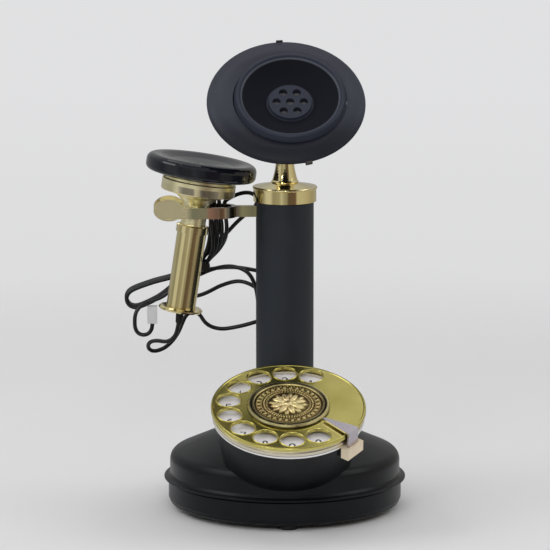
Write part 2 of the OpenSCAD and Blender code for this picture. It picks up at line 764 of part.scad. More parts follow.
module tail_flange() {
    color("#d6ae38") at_receiver(tail_low) difference() {
        union() {
            rotate_extrude() polygon([[0, 0], [tail_r - 1, 0], [tail_r, 0.9], [tail_r, tail_h - 0.9],
                                      [tail_r - 1, tail_h], [0, tail_h]]);
            cylinder(r = barrel_r - barrel_t - fit, h = tail_h + 5);
        }
        translate([0, 0, -1]) cylinder(r = 2.5, h = 20);
    }
}

module receiver_gland() {
    color("#151517") at_receiver(tail_low) {
        translate([0, 0, -1.2]) cylinder(r = 3.4, h = 1.2);
        cylinder(r = 2.4, h = 5);
        translate([0, 0, -gland_l]) cylinder(r1 = 1.9, r2 = 2.6, h = gland_l - 1.2);
    }
}

// ---- Transmitter ----

module transmitter_back() {
    ear_in = lug_t / 2 + air;
    color("#1b1c20") difference() {
        union() {
            at_mouth() rotate_extrude() polygon([
                [0, -back_d], [back_end_r - 1.5, -back_d], [back_end_r, -back_d + 1.5], [back_r - 1, -4], [back_r, -1],
                [back_r, brim_rise - brim_t - 0.4], [back_r - 2, brim_rise - brim_t - 0.4], [back_r - 3, -4],
                [back_end_r - 2, -back_d + 4], [0, -back_d + 4]]);
            for (side = [-1, 1]) tilt_ear(side > 0 ? ear_in : -ear_in - 3);
        }
        translate([-20, 0, tilt_z]) rotate([0, 90, 0]) cylinder(r = tilt_pin_r + run_fit, h = 40);
    }
}

// An ear runs from the shell's flat end back to the tilt axis
module tilt_ear(x) {
    at_mouth() translate([x, 0, 0]) rotate([90, 0, 90]) linear_extrude(3) {
        translate([pivot_v, pivot_w]) circle(r = lug_r);
        translate([pivot_v - ear_half, pivot_w + 1]) square([2 * ear_half, -back_d - pivot_w]);
    }
}

module mouth_brim() {
    color("#2a2c31") difference() {
        at_mouth() rotate_extrude() polygon(concat(
            [[brim_r - 0.8, -0.9], [brim_r, -0.2], [brim_r - 0.3, 0.5]],
            [for (i = [1 : 6]) [mix(brim_r, brim_in_r, i / 6), brim_rise * sin(90 * i / 6)]],
            [[brim_in_r - 5, brim_rise], [brim_in_r - 5, brim_rise - brim_t], [brim_in_r, brim_rise - brim_t]],
            [for (i = [5 : -1 : 1]) [mix(brim_r, brim_in_r, i / 6) - 0.4, brim_rise * sin(90 * i / 6) - brim_t + 0.2]]));
        at_mouth() translate([cup_offset, 0, -5]) cylinder(r = cup_wall_r + 0.1, h = 20);
    }
}

module mouth_cup() {
    color("#1e1f23") at_mouth() translate([cup_offset, 0, 0]) difference() {
        rotate_extrude() polygon(concat(
            [[cup_wall_r, brim_rise - brim_t], [cup_wall_r, brim_rise + 0.4]],
            arc([crest_r + 0.4, crest_h - 1.6], 1.6, 20, 150, 5),
            [for (i = [1 : 6]) [mix(crest_r - 1.2, boss_r + 1.4, i / 6), mix(crest_h - 1, -1, sin(90 * i / 6))]],
            [[boss_r + 0.2, -0.8], [boss_r - 0.4, 0.9], [0, 0.9], [0, -1.6], [boss_r + 2, -3]],
            [[crest_r - 4, brim_rise - brim_t - 1.6], [crest_r - 2.2, brim_rise - brim_t]]));
        for (i = [0 : 5]) rotate(60 * i) translate([sound_pitch, 0, -4]) cylinder(r = sound_hole_r, h = 10);
        translate([0, 0, -4]) cylinder(r = sound_hole_r, h = 10);
    }
}

module microphone() {
    color("#54575c") at_mouth() translate([cup_offset, 0, -9]) cylinder(r = boss_r + 1, h = 5.8);
    color("#54575c") at_mouth() translate([cup_offset, 0, -back_d + 4]) cylinder(r = 5, h = back_d - 13);
}

// Two small clips hold the brim's edge
module rim_clips() {
    color("#6a4a30") for (a = [93.5, -75]) at_mouth() rotate(a) difference() {
        translate([brim_r - 3, -2.1, -1.6]) cube([4, 4.2, 2.6]);
        translate([brim_r - 6, -4, -1.0]) cube([6.1, 8, 2.1]);
    }
}

// ---- Cords ----

// Frame of each ring: the first side is square to the path, and the next ones turn as little as they can
function path_dir(p, i) = unit(p[min(i + 1, len(p) - 1)] - p[max(i - 1, 0)]);
function ring_sides(p) = let (n = len(p), d0 = path_dir(p, 0),
    s0 = unit(cross(d0, abs(d0[2]) > 0.9 ? [1, 0, 0] : [0, 0, 1])))
    [for (i = 0, s = s0; i < n; i = i + 1,
        s = i < n ? unit(s - (s * path_dir(p, i)) * path_dir(p, i)) : s) s];

module tube(p, r, sides) {
    n = len(p);
    s = ring_sides(p);
    points = [for (i = [0 : n - 1], k = [0 : sides - 1])
        let (d = path_dir(p, i), a = 360 * k / sides) p[i] + r * (cos(a) * s[i] + sin(a) * cross(d, s[i]))];
    caps = [[for (k = [sides - 1 : -1 : 0]) k], [for (k = [0 : sides - 1]) (n - 1) * sides + k]];
    walls = [for (i = [0 : n - 2], k = [0 : sides - 1]) let (a = i * sides + k, b = i * sides + (k + 1) % sides)
        each [[a, b, b + sides], [a, b + sides, a + sides]]];
    polyhedron(points, concat(caps, walls));
}

receiver_tip = [-neck_x + (tail_low - gland_l) * sin(receiver_lean), 0,
                hook_z + 2.4 + (tail_low - gland_l) * cos(receiver_lean)];
receiver_down = -[sin(receiver_lean), 0, cos(receiver_lean)];
gland_tip = base_r + 9.4;
join_in = [-30, 31, 146];
join_lead = [-38, 36, 134];

receiver_route = [
    receiver_tip, receiver_tip + 3 * receiver_down, [-70, 0.5, 106.5], [-75, 1.5, 103], [-81, 3.5, 103.5],
    [-86, 6, 102], [-87, 9, 98], [-84, 12, 95], [-77, 14, 96.5], [-71, 15.5, 101.5], [-67, 17, 107.5],
    [-64.6, 18, 113.2], [-62.2, 18.6, 117.6], [-58, 19.4, 119.2], [-53.8, 20.2, 117.3], [-51.4, 21, 113],
    [-47, 22, 109.2], [-40, 22.5, 107.4], [-30, 23, 108.6], [-20, 23.5, 111], [-9, 24, 115], [0, 24.5, 121],
    [4, 25, 129], [1, 26, 137], [-7, 27.5, 142], [-18, 31, 144], [-30, 37, 145], [-42, 41, 144],
    [-54, 43, 141.5], [-61.5, 43.4, 138.6], [-66, 43.2, 133.8], [-65.6, 42.6, 128.6], [-60.8, 41.6, 125.6],
    [-54, 40.4, 126.2], [-48, 38.8, 128.8], join_lead - [3, -0.8, 1.2], join_lead];
lead_route = [
    join_lead, [-35, 35.2, 135.2], [-28, 34, 136.5], [-20, 33, 134], [-12, 33, 127], [-6, 35, 116],
    [-2, 40, 100], [2, 50, 80], [5, 64, 60], [7, 79, 45.4], [8, 91.4, 33.2], [8, 93.4, 29.5],
    [8, 92.3, 25.5], [8, 88, gland_z], [gland_x, gland_tip, gland_z]];
line_route = [
    [-gland_x, gland_tip, gland_z], [-8, 88, gland_z], [-8, 92.3, 25.5], [-8.2, 93.4, 29.5], [-8.6, 91.4, 33.2],
    [-11, 77, 47], [-13, 61, 65], [-14, 48, 85], [-15, 38, 105], [-16, 32, 122], [-18, 30, 134], [-22, 30, 142],
    [-27, 30.7, 145.3], join_in];
hank_lead_in = [join_in, [-33, 31.3, 146.7], [-40, 32.5, 146], [-48, 33.5, 143.5], [-55, 33.7, 140.5]];
// The first loop stands out to the column and rises in a hump over the bar
hank_hump = [[-37, 19.5, 169.5], [-30.5, 16.5, 177], [-24, 15.8, 183], [-18.8, 15.6, 187.2], [-16.8, 15.5, 191],
             [-18, 15.3, 194.6], [-21.6, 15, 196.6], [-26.6, 14, 196.6], [-32, 12, 195]];
plug_route = [[-95.4, 17.6, 114.4], [-95.4, 17.4, 110], [-93.8, 17.4, 106], [-89.8, 17.4, 104.4],
              [-85.8, 17.4, 106], [-84.2, 17.4, 110], [-84.2, 17.4, 112.4]];
// The last run leaves the hank and turns down to the plug
hank_lead_out = [[-86, 20.8, 126.2], [-91.2, 19.6, 123.6], [-94.6, 18.4, 119.4],
                 plug_route[0] + 1.5 * unit(plug_route[0] - plug_route[1])];

// Middle line of the hank, from the fork down to its left end
spine = [[-42.6, 9.9, 187.3], [-41.9, 11.6, 176], [-44.5, 19.5, 161.5], [-52, 25.4, 150], [-66, 26, 140.5],
         [-82, 26, 132.5], [-95, 25.6, 127]];

function spine_at(t) = let (q = min(max(t, 0), 0.9999) * (len(spine) - 1), i = floor(q), f = q - i,
    a = spine[max(i - 1, 0)], b = spine[i], c = spine[i + 1], d = spine[min(i + 2, len(spine) - 1)])
    0.5 * (2 * b + (c - a) * f + (2 * a - 5 * b + 4 * c - d) * f * f + (3 * b - a - 3 * c + d) * f * f * f);
function spine_dir(t) = unit(spine_at(min(t + 0.01, 1)) - spine_at(max(t - 0.01, 0)));
function ease(a, b, t) = let (f = min(max((t - a) / (b - a), 0), 1)) f * f * (3 - 2 * f);
// Half the distance between a loop's two runs: wide over the tine, narrow at the tie, open at the left end
function loop_half(t) = 5.1 - 3.4 * ease(0.1, 0.42, t) + 4.2 * ease(0.6, 0.9, t);
function loop_turn(t) = 90 * (1 - ease(0.08, 0.5, t));

// A point of the hank: t along it, side across it, past beyond its ends, layer counted from the first loop
function hank_point(t, side, past, layer) = let (
    d = spine_dir(t), n = unit([-d[2], 0, d[0]]), b = cross(d, n), a = loop_turn(t),
    across = cos(a) * n + sin(a) * b, stack = cos(a) * b - sin(a) * n, h = loop_half(t))
    spine_at(t) + across * h * side + d * h * past + stack * hank_pitch * (layer - hank_loops / 2);

run_steps = 7;
bend_steps = 6;
// Loops: down one run, round the left end, up the other run while climbing one layer, and over the tine
loop_points = [for (k = [0 : hank_loops - 1]) each concat(
    [for (i = [0 : run_steps - 1]) let (t = i / (run_steps - 1))
        if ((k > 0 || t > 0.65) && (k < hank_loops - 1 || t < 0.9)) hank_point(t, 1, 0, k)],
    k < hank_loops - 1 ? concat(
        [for (i = [1 : bend_steps - 1]) let (a = 180 * i / bend_steps) hank_point(1, cos(a), sin(a), k)],
        [for (i = [0 : run_steps - 1]) let (t = 1 - i / (run_steps - 1))
            if (k > 0 || t > 0.3) hank_point(t, -1, 0, k + 1 - t)],
        k > 0 ? [] : hank_hump,
        [for (i = [k > 0 ? 1 : 4 : bend_steps - 1]) let (a = 180 * i / bend_steps)
            hank_point(0, -cos(a), -sin(a), k + 1)]) : [])];
hank_path = concat(hank_lead_in, loop_points, hank_lead_out, [plug_route[0]]);
hank_gap = min([for (i = [0 : len(hank_path) - 1], j = [i + 5 : 1 : len(hank_path) - 1])
    norm(hank_path[i] - hank_path[j])]) - cord_d;
echo(hank_rings = len(hank_path), hank_least_gap = hank_gap);

module line_hank() {
    color("#101114") tube(hank_path, cord_d / 2, 6);
}

module cord_tie() {
    t = 0.5;
    d = spine_dir(t);
    half_n = loop_half(t) + cord_d / 2 + 1;
    half_y = hank_pitch * hank_loops / 2 + cord_d / 2 + 0.8;
    lean = atan2(d[0], d[2]);
    color("#0d0d0f") translate(spine_at(t)) rotate([0, lean, 0]) translate([0, 0, -2]) difference() {
        translate([-half_n - 1, -half_y - 1, 0]) cube([2 * half_n + 2, 2 * half_y + 2, 4]);
        translate([-half_n, -half_y, -1]) cube([2 * half_n, 2 * half_y, 6]);
    }
}

module plug_lead() {
    color("#101114") tube(plug_route, cord_d / 2, 8);
}

module modular_plug() {
    tip = plug_route[len(plug_route) - 1];
    color("#dfe3e6") translate(tip) {
        translate([-plug_w / 2, -plug_t / 2, 0]) cube([plug_w, plug_t, plug_l]);
        translate([-plug_w / 4, plug_t / 2, 1]) cube([plug_w / 2, 0.9, plug_l - 2]);
    }
}

module receiver_cord() {
    color("#101114") tube(receiver_route, cord_d / 2, 8);
}

module receiver_lead() {
    color("#101114") tube(lead_route, cord_d / 2, 8);
}

module line_cord() {
    color("#101114") tube(line_route, cord_d / 2, 8);
}

base_shell();
base_tray();
rubber_feet();
base_screws();
ballast_plate();
circuit_board();
ringer();
cord_glands();
column_tube();
column_cap();
stem();
tilt_pin();
switch_frame();
hook_pin();
switch_contacts();
dial_frame();
return_spring();
number_plate();
trim_ring();
bezel_ring();
finger_stop();
stop_block();
finger_wheel();
hub_ring();
hub_medallion();
dial_spindle();
dial_gear();
governor();
hook_lever();
line_hank();
cord_tie();
plug_lead();
modular_plug();
receiver_cord();
switch_plunger();
ear_cap();
earpiece();
receiver_cup();
receiver_barrel();
tail_flange();
receiver_gland();
transmitter_back();
mouth_brim();
mouth_cup();
microphone();
rim_clips();
line_cord();
receiver_lead();
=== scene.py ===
import math
import bpy
from mathutils import Matrix, Vector


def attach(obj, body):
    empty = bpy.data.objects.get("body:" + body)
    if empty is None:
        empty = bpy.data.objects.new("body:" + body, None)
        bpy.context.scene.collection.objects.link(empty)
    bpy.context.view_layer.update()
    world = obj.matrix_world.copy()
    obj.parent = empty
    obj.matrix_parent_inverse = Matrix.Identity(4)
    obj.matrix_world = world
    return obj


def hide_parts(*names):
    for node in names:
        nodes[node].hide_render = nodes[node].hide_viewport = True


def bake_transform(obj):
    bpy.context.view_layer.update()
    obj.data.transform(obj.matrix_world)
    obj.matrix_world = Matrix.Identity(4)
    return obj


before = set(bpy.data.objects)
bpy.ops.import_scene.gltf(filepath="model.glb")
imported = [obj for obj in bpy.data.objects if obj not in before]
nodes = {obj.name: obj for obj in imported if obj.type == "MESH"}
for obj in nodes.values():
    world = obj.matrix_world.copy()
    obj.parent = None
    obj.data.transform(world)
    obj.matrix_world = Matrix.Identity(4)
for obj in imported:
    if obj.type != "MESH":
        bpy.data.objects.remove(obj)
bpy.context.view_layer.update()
mm = 0.001
print("frame loaded,", len(nodes), "parts")


# the view
camera = {
    "distance": 2.100,      # from the column's axis, along the floor
    "height": 0.4894,       # above the underside
    "pitch": 9.29,          # looking down, degrees
    "side": -2.0,           # how far round to the left it stands, degrees
    "aside": 0.17,          # turned a little so that the column stands right of the middle
    "lens": 219.7,
}


def makeCamera(c):
    side = math.radians(c["side"])
    data = bpy.data.cameras.new("camera")
    data.lens = c["lens"]
    data.sensor_width = 36
    data.clip_end = 20
    obj = bpy.data.objects.new("camera", data)
    obj.location = (math.sin(side) * c["distance"], -math.cos(side) * c["distance"], c["height"])
    obj.rotation_euler = (math.radians(90 - c["pitch"]), 0, side + math.radians(c["aside"]))
    bpy.context.scene.collection.objects.link(obj)
    bpy.context.scene.camera = obj


makeCamera(camera)
print("camera set")


# where the leaning pieces stand, in mm and degrees
dialPlace = {"centre": (0, -66, 74.9), "tilt": 21.5,
             "holes": 10, "holeRing": 37.5, "firstHole": 66, "step": 25.714}
cupPlace = {"rim": (2.5, -22, 258.3), "tilt": 43.6, "bossRadius": 14.6, "crestRadius": 30.6}
receiverPlace = {"neck": (-56.5, 0, 189.4), "lean": 8.5, "tail": 74.7, "straightOut": 3}


# meshes by code
def addPiece(name, verts, faces, material, body, smooth=True):
    mesh = bpy.data.meshes.new(name)
    mesh.from_pydata([tuple(v) for v in verts], [], faces)
    mesh.validate()
    mesh.polygons.foreach_set("use_smooth", [smooth] * len(mesh.polygons))
    mesh.materials.append(material)
    obj = bpy.data.objects.new(name, mesh)
    bpy.context.scene.collection.objects.link(obj)
    if body:
        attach(obj, body)
    return obj


def evenly(line, spacing):
    total = sum((b - a).length for a, b in zip(line, line[1:]))
    count = max(2, round(total / spacing))
    even, target, walked = [line[0]], total / count, 0.0
    for a, b in zip(line, line[1:]):
        step = (b - a).length
        while walked + step >= target * len(even) and len(even) < count:
            even.append(a.lerp(b, (target * len(even) - walked) / step))
        walked += step
    even.append(line[-1])
    return even


def slopeAt(before, here, after, stretch):
    # the line's direction at a point, weighted so that short and long steps both bend gently
    u, v = (here - before).length ** 0.5, (after - here).length ** 0.5
    if u < 1e-6:
        return (after - here) / v * stretch
    if v < 1e-6:
        return (here - before) / u * stretch
    return ((here - before) / u - (after - before) / (u + v) + (after - here) / v) * stretch


def throughPoints(points, spacing, between=12, softening=8):
    # a smooth line through the points, softened a little and set out at even steps
    dense = []
    for i in range(len(points) - 1):
        a, b, c = points[max(i - 1, 0)], points[i], points[i + 1]
        d = points[min(i + 2, len(points) - 1)]
        stretch = (c - b).length ** 0.5
        leave, arrive = slopeAt(a, b, c, stretch), slopeAt(b, c, d, stretch)
        for k in range(between):
            f = k / between
            dense.append((2 * f ** 3 - 3 * f * f + 1) * b + (f ** 3 - 2 * f * f + f) * leave
                         + (3 * f * f - 2 * f ** 3) * c + (f ** 3 - f * f) * arrive)
    dense.append(points[-1])
    line = evenly(dense, 0.6 * spacing)
    for _ in range(softening):
        line = [line[0]] + [(p + 2 * q + r) / 4 for p, q, r in zip(line, line[1:], line[2:])] + [line[-1]]
    return evenly(line, spacing)


def tubeAlong(path, radius, sides):
    verts, faces = [], []
    out = Vector((0, 0, 1)).cross(path[1] - path[0])
    if out.length < 1e-6:
        out = Vector((1, 0, 0))
    for i, p in enumerate(path):
        way = (path[min(i + 1, len(path) - 1)] - path[max(i - 1, 0)]).normalized()
        out = (out - out.dot(way) * way).normalized()
        other = way.cross(out)
        for k in range(sides):
            turn = 2 * math.pi * k / sides
            verts.append(p + radius * (math.cos(turn) * out + math.sin(turn) * other))
    for i in range(len(path) - 1):
        for k in range(sides):
            a, b = i * sides + k, i * sides + (k + 1) % sides
            faces.append((a, b, b + sides, a + sides))
    faces.append(tuple(range(sides - 1, -1, -1)))
    faces.append(tuple(range(len(verts) - sides, len(verts))))
    return verts, faces


# finishes
def startMaterial(name):
    material = bpy.data.materials.new(name)
    material.use_nodes = True
    tree = material.node_tree
    shader = tree.nodes["Principled BSDF"]
    place = tree.nodes.new("ShaderNodeTexCoord")
    return material, tree, shader, place


def noiseFrom(tree, place, scale, detail=3.0):
    noise = tree.nodes.new("ShaderNodeTexNoise")
    noise.inputs["Scale"].default_value = scale
    noise.inputs["Detail"].default_value = detail
    tree.links.new(place.outputs["Object"], noise.inputs["Vector"])
    return noise.outputs["Fac"]


def rampBetween(tree, source, stops):
    ramp = tree.nodes.new("ShaderNodeValToRGB")
    ramp.color_ramp.elements[0].position = stops[0][0]
    ramp.color_ramp.elements[0].color = (*stops[0][1], 1)
    ramp.color_ramp.elements[1].position = stops[-1][0]
    ramp.color_ramp.elements[1].color = (*stops[-1][1], 1)
    for at, colour in stops[1:-1]:
        ramp.color_ramp.elements.new(at).color = (*colour, 1)
    tree.links.new(source, ramp.inputs["Fac"])
    return ramp.outputs["Color"]


def mapped(tree, source, low, high, toLow=0.0, toHigh=1.0, soft=False):
    scaled = tree.nodes.new("ShaderNodeMapRange")
    scaled.interpolation_type = "SMOOTHSTEP" if soft else "LINEAR"
    for socket, value in (("From Min", low), ("From Max", high), ("To Min", toLow), ("To Max", toHigh)):
        scaled.inputs[socket].default_value = value
    tree.links.new(source, scaled.inputs["Value"])
    return scaled.outputs["Result"]


def rangeBetween(tree, source, low, high):
    # noise keeps mostly between 0.3 and 0.7
    return mapped(tree, source, 0.3, 0.7, low, high)


def vectorStep(tree, operation, source, value=None):
    node = tree.nodes.new("ShaderNodeVectorMath")
    node.operation = operation
    tree.links.new(source, node.inputs[0])
    if value is not None:
        node.inputs[1].default_value = value
    return node.outputs["Value" if operation in ("LENGTH", "DOT_PRODUCT") else "Vector"]


def numberStep(tree, operation, *sources):
    # each source is another node's output or a plain number
    node = tree.nodes.new("ShaderNodeMath")
    node.operation = operation
    for source, socket in zip(sources, node.inputs):
        if isinstance(source, (int, float)):
            socket.default_value = source
        else:
            tree.links.new(source, socket)
    return node.outputs[0]


def mixed(tree, factor, first, second):
    # each side is another node's output or a plain colour
    mix = tree.nodes.new("ShaderNodeMix")
    mix.data_type = "RGBA"
    tree.links.new(factor, mix.inputs["Factor"])
    for source, socket in ((first, mix.inputs[6]), (second, mix.inputs[7])):
        if isinstance(source, tuple):
            socket.default_value = (*source, 1)
        else:
            tree.links.new(source, socket)
    return mix.outputs[2]


def separated(tree, source, axis):
    apart = tree.nodes.new("ShaderNodeSeparateXYZ")
    tree.links.new(source, apart.inputs["Vector"])
    return apart.outputs[axis]


def fromAxis(tree, place, centre, tilt, reach):
    # distance from an axis that leans towards the front, as a share of reach in mm
    lean = math.radians(tilt)
    shifted = vectorStep(tree, "SUBTRACT", place.outputs["Object"], Vector(centre) * mm)
    across = vectorStep(tree, "CROSS_PRODUCT", shifted, (0, -math.sin(lean), math.cos(lean)))
    return mapped(tree, vectorStep(tree, "LENGTH", across), 0, reach * mm)


def alongAxis(tree, place, centre, direction, low, high):
    # how far along an axis, as a share of the way from low to high in mm
    shifted = vectorStep(tree, "SUBTRACT", place.outputs["Object"], Vector(centre) * mm)
    return mapped(tree, vectorStep(tree, "DOT_PRODUCT", shifted, direction), low * mm, high * mm)


def grained(tree, shader, place, scale, depth):
    bump = tree.nodes.new("ShaderNodeBump")
    bump.inputs["Strength"].default_value = 0.3
    bump.inputs["Distance"].default_value = depth
    tree.links.new(noiseFrom(tree, place, scale, 2.0), bump.inputs["Height"])
    tree.links.new(bump.outputs["Normal"], shader.inputs["Normal"])


def dress(tree, shader, place, colour, rough, patch, metal=0.0, shine=0.5):
    # the colour as given, and a roughness that wanders in patches
    tree.links.new(colour, shader.inputs["Base Color"])
    tree.links.new(rangeBetween(tree, noiseFrom(tree, place, patch), *rough), shader.inputs["Roughness"])
    shader.inputs["Metallic"].default_value = metal
    shader.inputs["Specular IOR Level"].default_value = shine


def finish(name, dark, light, rough, metal=0.0, patch=60, grain=0, grainDepth=0.0, coat=0.0, shine=0.5):
    # one finish: two close colours in soft patches, and a fine grain
    material, tree, shader, place = startMaterial(name)
    colour = rampBetween(tree, noiseFrom(tree, place, patch), [(0.35, dark), (0.65, light)])
    dress(tree, shader, place, colour, rough, patch, metal, shine)
    shader.inputs["Coat Weight"].default_value = coat
    shader.inputs["Coat Roughness"].default_value = 0.08
    if grain:
        grained(tree, shader, place, grain, grainDepth)
    return material


blackShell = finish("blackShell", (0.0046, 0.0056, 0.0072), (0.0064, 0.0075, 0.0094), (0.30, 0.38),
                    grain=1800, grainDepth=0.00003, shine=0.17)
blackColumn = finish("blackColumn", (0.0125, 0.0170, 0.0250), (0.0150, 0.0195, 0.0280), (0.46, 0.54),
                     grain=2200, grainDepth=0.00004, shine=0.35)
blackGloss = finish("blackGloss", (0.0060, 0.0070, 0.0120), (0.0075, 0.0085, 0.0140), (0.07, 0.11),
                    coat=0.1, shine=0.36)
rubberBlack = finish("rubberBlack", (0.008, 0.008, 0.008), (0.012, 0.012, 0.012), (0.6, 0.7),
                     grain=1500, grainDepth=0.00006, shine=0.3)
cordBlack = finish("cordBlack", (0.0045, 0.0055, 0.0075), (0.0070, 0.0080, 0.0100), (0.28, 0.38),
                   patch=200, shine=0.4)
brassPolished = finish("brassPolished", (0.80, 0.69, 0.36), (0.86, 0.75, 0.42), (0.08, 0.14),
                       metal=1.0, patch=40, grain=900, grainDepth=0.00001)
brassWheel = finish("brassWheel", (0.56, 0.49, 0.13), (0.63, 0.56, 0.18), (0.18, 0.26),
                    metal=1.0, patch=30, grain=1200, grainDepth=0.00001)
brassInside = finish("brassInside", (0.55, 0.40, 0.13), (0.62, 0.46, 0.17), (0.3, 0.4), metal=1.0)
steelStill = finish("steelStill", (0.50, 0.50, 0.52), (0.58, 0.58, 0.60), (0.25, 0.35), metal=1.0)
bezelPale = finish("bezelPale", (0.66, 0.62, 0.50), (0.74, 0.70, 0.56), (0.3, 0.4), metal=1.0)
stopSilver = finish("stopSilver", (0.50, 0.46, 0.50), (0.55, 0.51, 0.55), (0.24, 0.30), metal=1.0, patch=25)
plateEnamel = finish("plateEnamel", (0.88, 0.86, 0.91), (0.93, 0.91, 0.96), (0.3, 0.4), coat=0.2)
blockCream = finish("blockCream", (0.76, 0.64, 0.46), (0.82, 0.70, 0.52), (0.4, 0.5))
numberInk = finish("numberInk", (0.006, 0.006, 0.007), (0.009, 0.009, 0.010), (0.4, 0.5), shine=0.3)
boardGreen = finish("boardGreen", (0.02, 0.13, 0.05), (0.03, 0.17, 0.07), (0.35, 0.45))
insideGrey = finish("insideGrey", (0.16, 0.16, 0.17), (0.21, 0.21, 0.22), (0.4, 0.5))
clipBrown = finish("clipBrown", (0.020, 0.015, 0.013), (0.030, 0.022, 0.018), (0.35, 0.45))


# painted reflections: the bar's colour is painted in blocks along its length, standing for the cords, the
# cup and the room mirrored in it
bar = {
    "from": -85, "to": -15, "rough": (0.14, 0.22), "patch": 40,
    "paintedReflections": [(0.0, (0.96, 0.88, 0.60)), (0.33, (0.94, 0.87, 0.60)), (0.38, (0.46, 0.46, 0.31)),
               (0.50, (0.52, 0.48, 0.32)), (0.53, (0.64, 0.36, 0.26)), (0.60, (0.40, 0.24, 0.18)),
               (0.66, (0.70, 0.52, 0.34)), (0.69, (0.22, 0.20, 0.17)), (0.79, (0.28, 0.25, 0.19)),
               (0.83, (0.56, 0.53, 0.31)), (0.92, (0.42, 0.40, 0.26)), (1.0, (0.50, 0.47, 0.27))],
}


def barPaintedReflections(b):
    material, tree, shader, place = startMaterial("barPaintedReflections")
    along = mapped(tree, separated(tree, place.outputs["Object"], "X"), b["from"] * mm, b["to"] * mm)
    # painted reflections, laid along the bar's length by position
    dress(tree, shader, place, rampBetween(tree, along, b["paintedReflections"]), b["rough"], b["patch"], metal=1.0)
    return material


# painted light and shade: the bowl's floor is a deep black painted darker still as shade, its boss a dull
# black painted as lit, and a painted highlight runs round its crest
bowl = {
    "reach": 40, "shine": 0.12,
    "paintedLit": (0.0290, 0.0330, 0.0500), "paintedCrestHighlight": (0.075, 0.082, 0.105), "hollow": (0.0040, 0.0054, 0.0098),
    "tones": [("boss", -0.01, "paintedLit"), ("boss", 0.01, "hollow"), ("crest", -0.02, "hollow"),
              ("crest", -0.006, "paintedCrestHighlight"), ("crest", 0.004, "paintedCrestHighlight"), ("crest", 0.016, "paintedLit")],
    "rough": [("boss", -0.01, 0.42), ("boss", 0.01, 0.75), ("crest", -0.02, 0.70), ("crest", 0.0, 0.36)],
}


def paintedShadeBowl(b, c):
    material, tree, shader, place = startMaterial("paintedShadeBowl")
    radius = fromAxis(tree, place, c["rim"], c["tilt"], b["reach"])
    at = {"boss": c["bossRadius"] / b["reach"], "crest": c["crestRadius"] / b["reach"]}
    # painted shade on the floor, painted light on the boss and beyond the crest, a painted highlight on the
    # crest
    colour = rampBetween(tree, radius, [(at[edge] + step, b[tone]) for edge, step, tone in b["tones"]])
    rough = rampBetween(tree, radius, [(at[edge] + step, (value,) * 3) for edge, step, value in b["rough"]])
    tree.links.new(colour, shader.inputs["Base Color"])
    tree.links.new(rough, shader.inputs["Roughness"])
    shader.inputs["Specular IOR Level"].default_value = b["shine"]
    return material


# painted light and shade: matt black, painted lighter about its middle and top as if lit, and kept deep
# below as painted shade
mouth = {
    "low": 232, "high": 292, "rough": (0.38, 0.46), "patch": 60, "shine": 0.26,
    "grain": 2200, "grainDepth": 0.00004,
    "stops": [(0.0, (0.0050, 0.0058, 0.0120)), (0.16, (0.0080, 0.0090, 0.0180)),
              (0.34, (0.0260, 0.0310, 0.0460)), (0.55, (0.0300, 0.0350, 0.0500)),
              (0.80, (0.0180, 0.0200, 0.0340)), (1.0, (0.0190, 0.0210, 0.0360))],
}


def paintedShadeMouth(m):
    material, tree, shader, place = startMaterial("paintedShadeMouth")
    share = alongAxis(tree, place, (0, 0, 0), (0, 0, 1), m["low"], m["high"])
    # colour by height: painted light above, painted shade below
    colour = rampBetween(tree, share, m["stops"])
    dress(tree, shader, place, colour, m["rough"], m["patch"], shine=m["shine"])
    grained(tree, shader, place, m["grain"], m["grainDepth"])
    return material


plug = {"dull": (0.86, 0.88, 0.90), "clear": (0.93, 0.94, 0.95), "patch": 300,
        "rough": 0.25, "seeThrough": 0.35, "ior": 1.49}


def clearPlug(p):
    material, tree, shader, place = startMaterial("clearPlug")
    colour = rampBetween(tree, noiseFrom(tree, place, p["patch"]), [(0.3, p["dull"]), (0.7, p["clear"])])
    tree.links.new(colour, shader.inputs["Base Color"])
    shader.inputs["Roughness"].default_value = p["rough"]
    shader.inputs["Transmission Weight"].default_value = p["seeThrough"]
    shader.inputs["IOR"].default_value = p["ior"]
    return material


# the hub's ring: rubbed bright along its crown, dirt in the grooves on both sides
hubRing = {
    "reach": 40, "rough": (0.2, 0.36), "patch": 300,
    "dirt": (0.055, 0.048, 0.022), "worn": (0.40, 0.35, 0.16), "gold": (0.74, 0.66, 0.34),
    "tones": [(0.572, "dirt"), (0.594, "dirt"), (0.602, "worn"), (0.614, "gold"), (0.634, "gold"),
              (0.641, "dirt")],
}


def ringedBrass(h, d):
    material, tree, shader, place = startMaterial("ringedBrass")
    radius = fromAxis(tree, place, d["centre"], d["tilt"], h["reach"])
    colour = rampBetween(tree, radius, [(at, h[tone]) for at, tone in h["tones"]])
    dress(tree, shader, place, colour, h["rough"], h["patch"], metal=1.0)
    return material


# the dial's rim: a pale yellowish step, a dark line, and a polished edge below
trim = {
    "low": -8.0, "high": -4.6, "rough": (0.2, 0.3), "patch": 120,
    "stops": [(0.0, (0.95, 0.95, 0.95)), (0.30, (0.92, 0.91, 0.88)), (0.36, (0.22, 0.20, 0.17)),
              (0.42, (0.25, 0.23, 0.19)), (0.48, (0.66, 0.62, 0.52)), (0.95, (0.74, 0.69, 0.56))],
}


def bandedTrim(t, d):
    material, tree, shader, place = startMaterial("bandedTrim")
    lean = math.radians(d["tilt"])
    share = alongAxis(tree, place, d["centre"], (0, -math.sin(lean), math.cos(lean)), t["low"], t["high"])
    dress(tree, shader, place, rampBetween(tree, share, t["stops"]), t["rough"], t["patch"], metal=1.0)
    return material


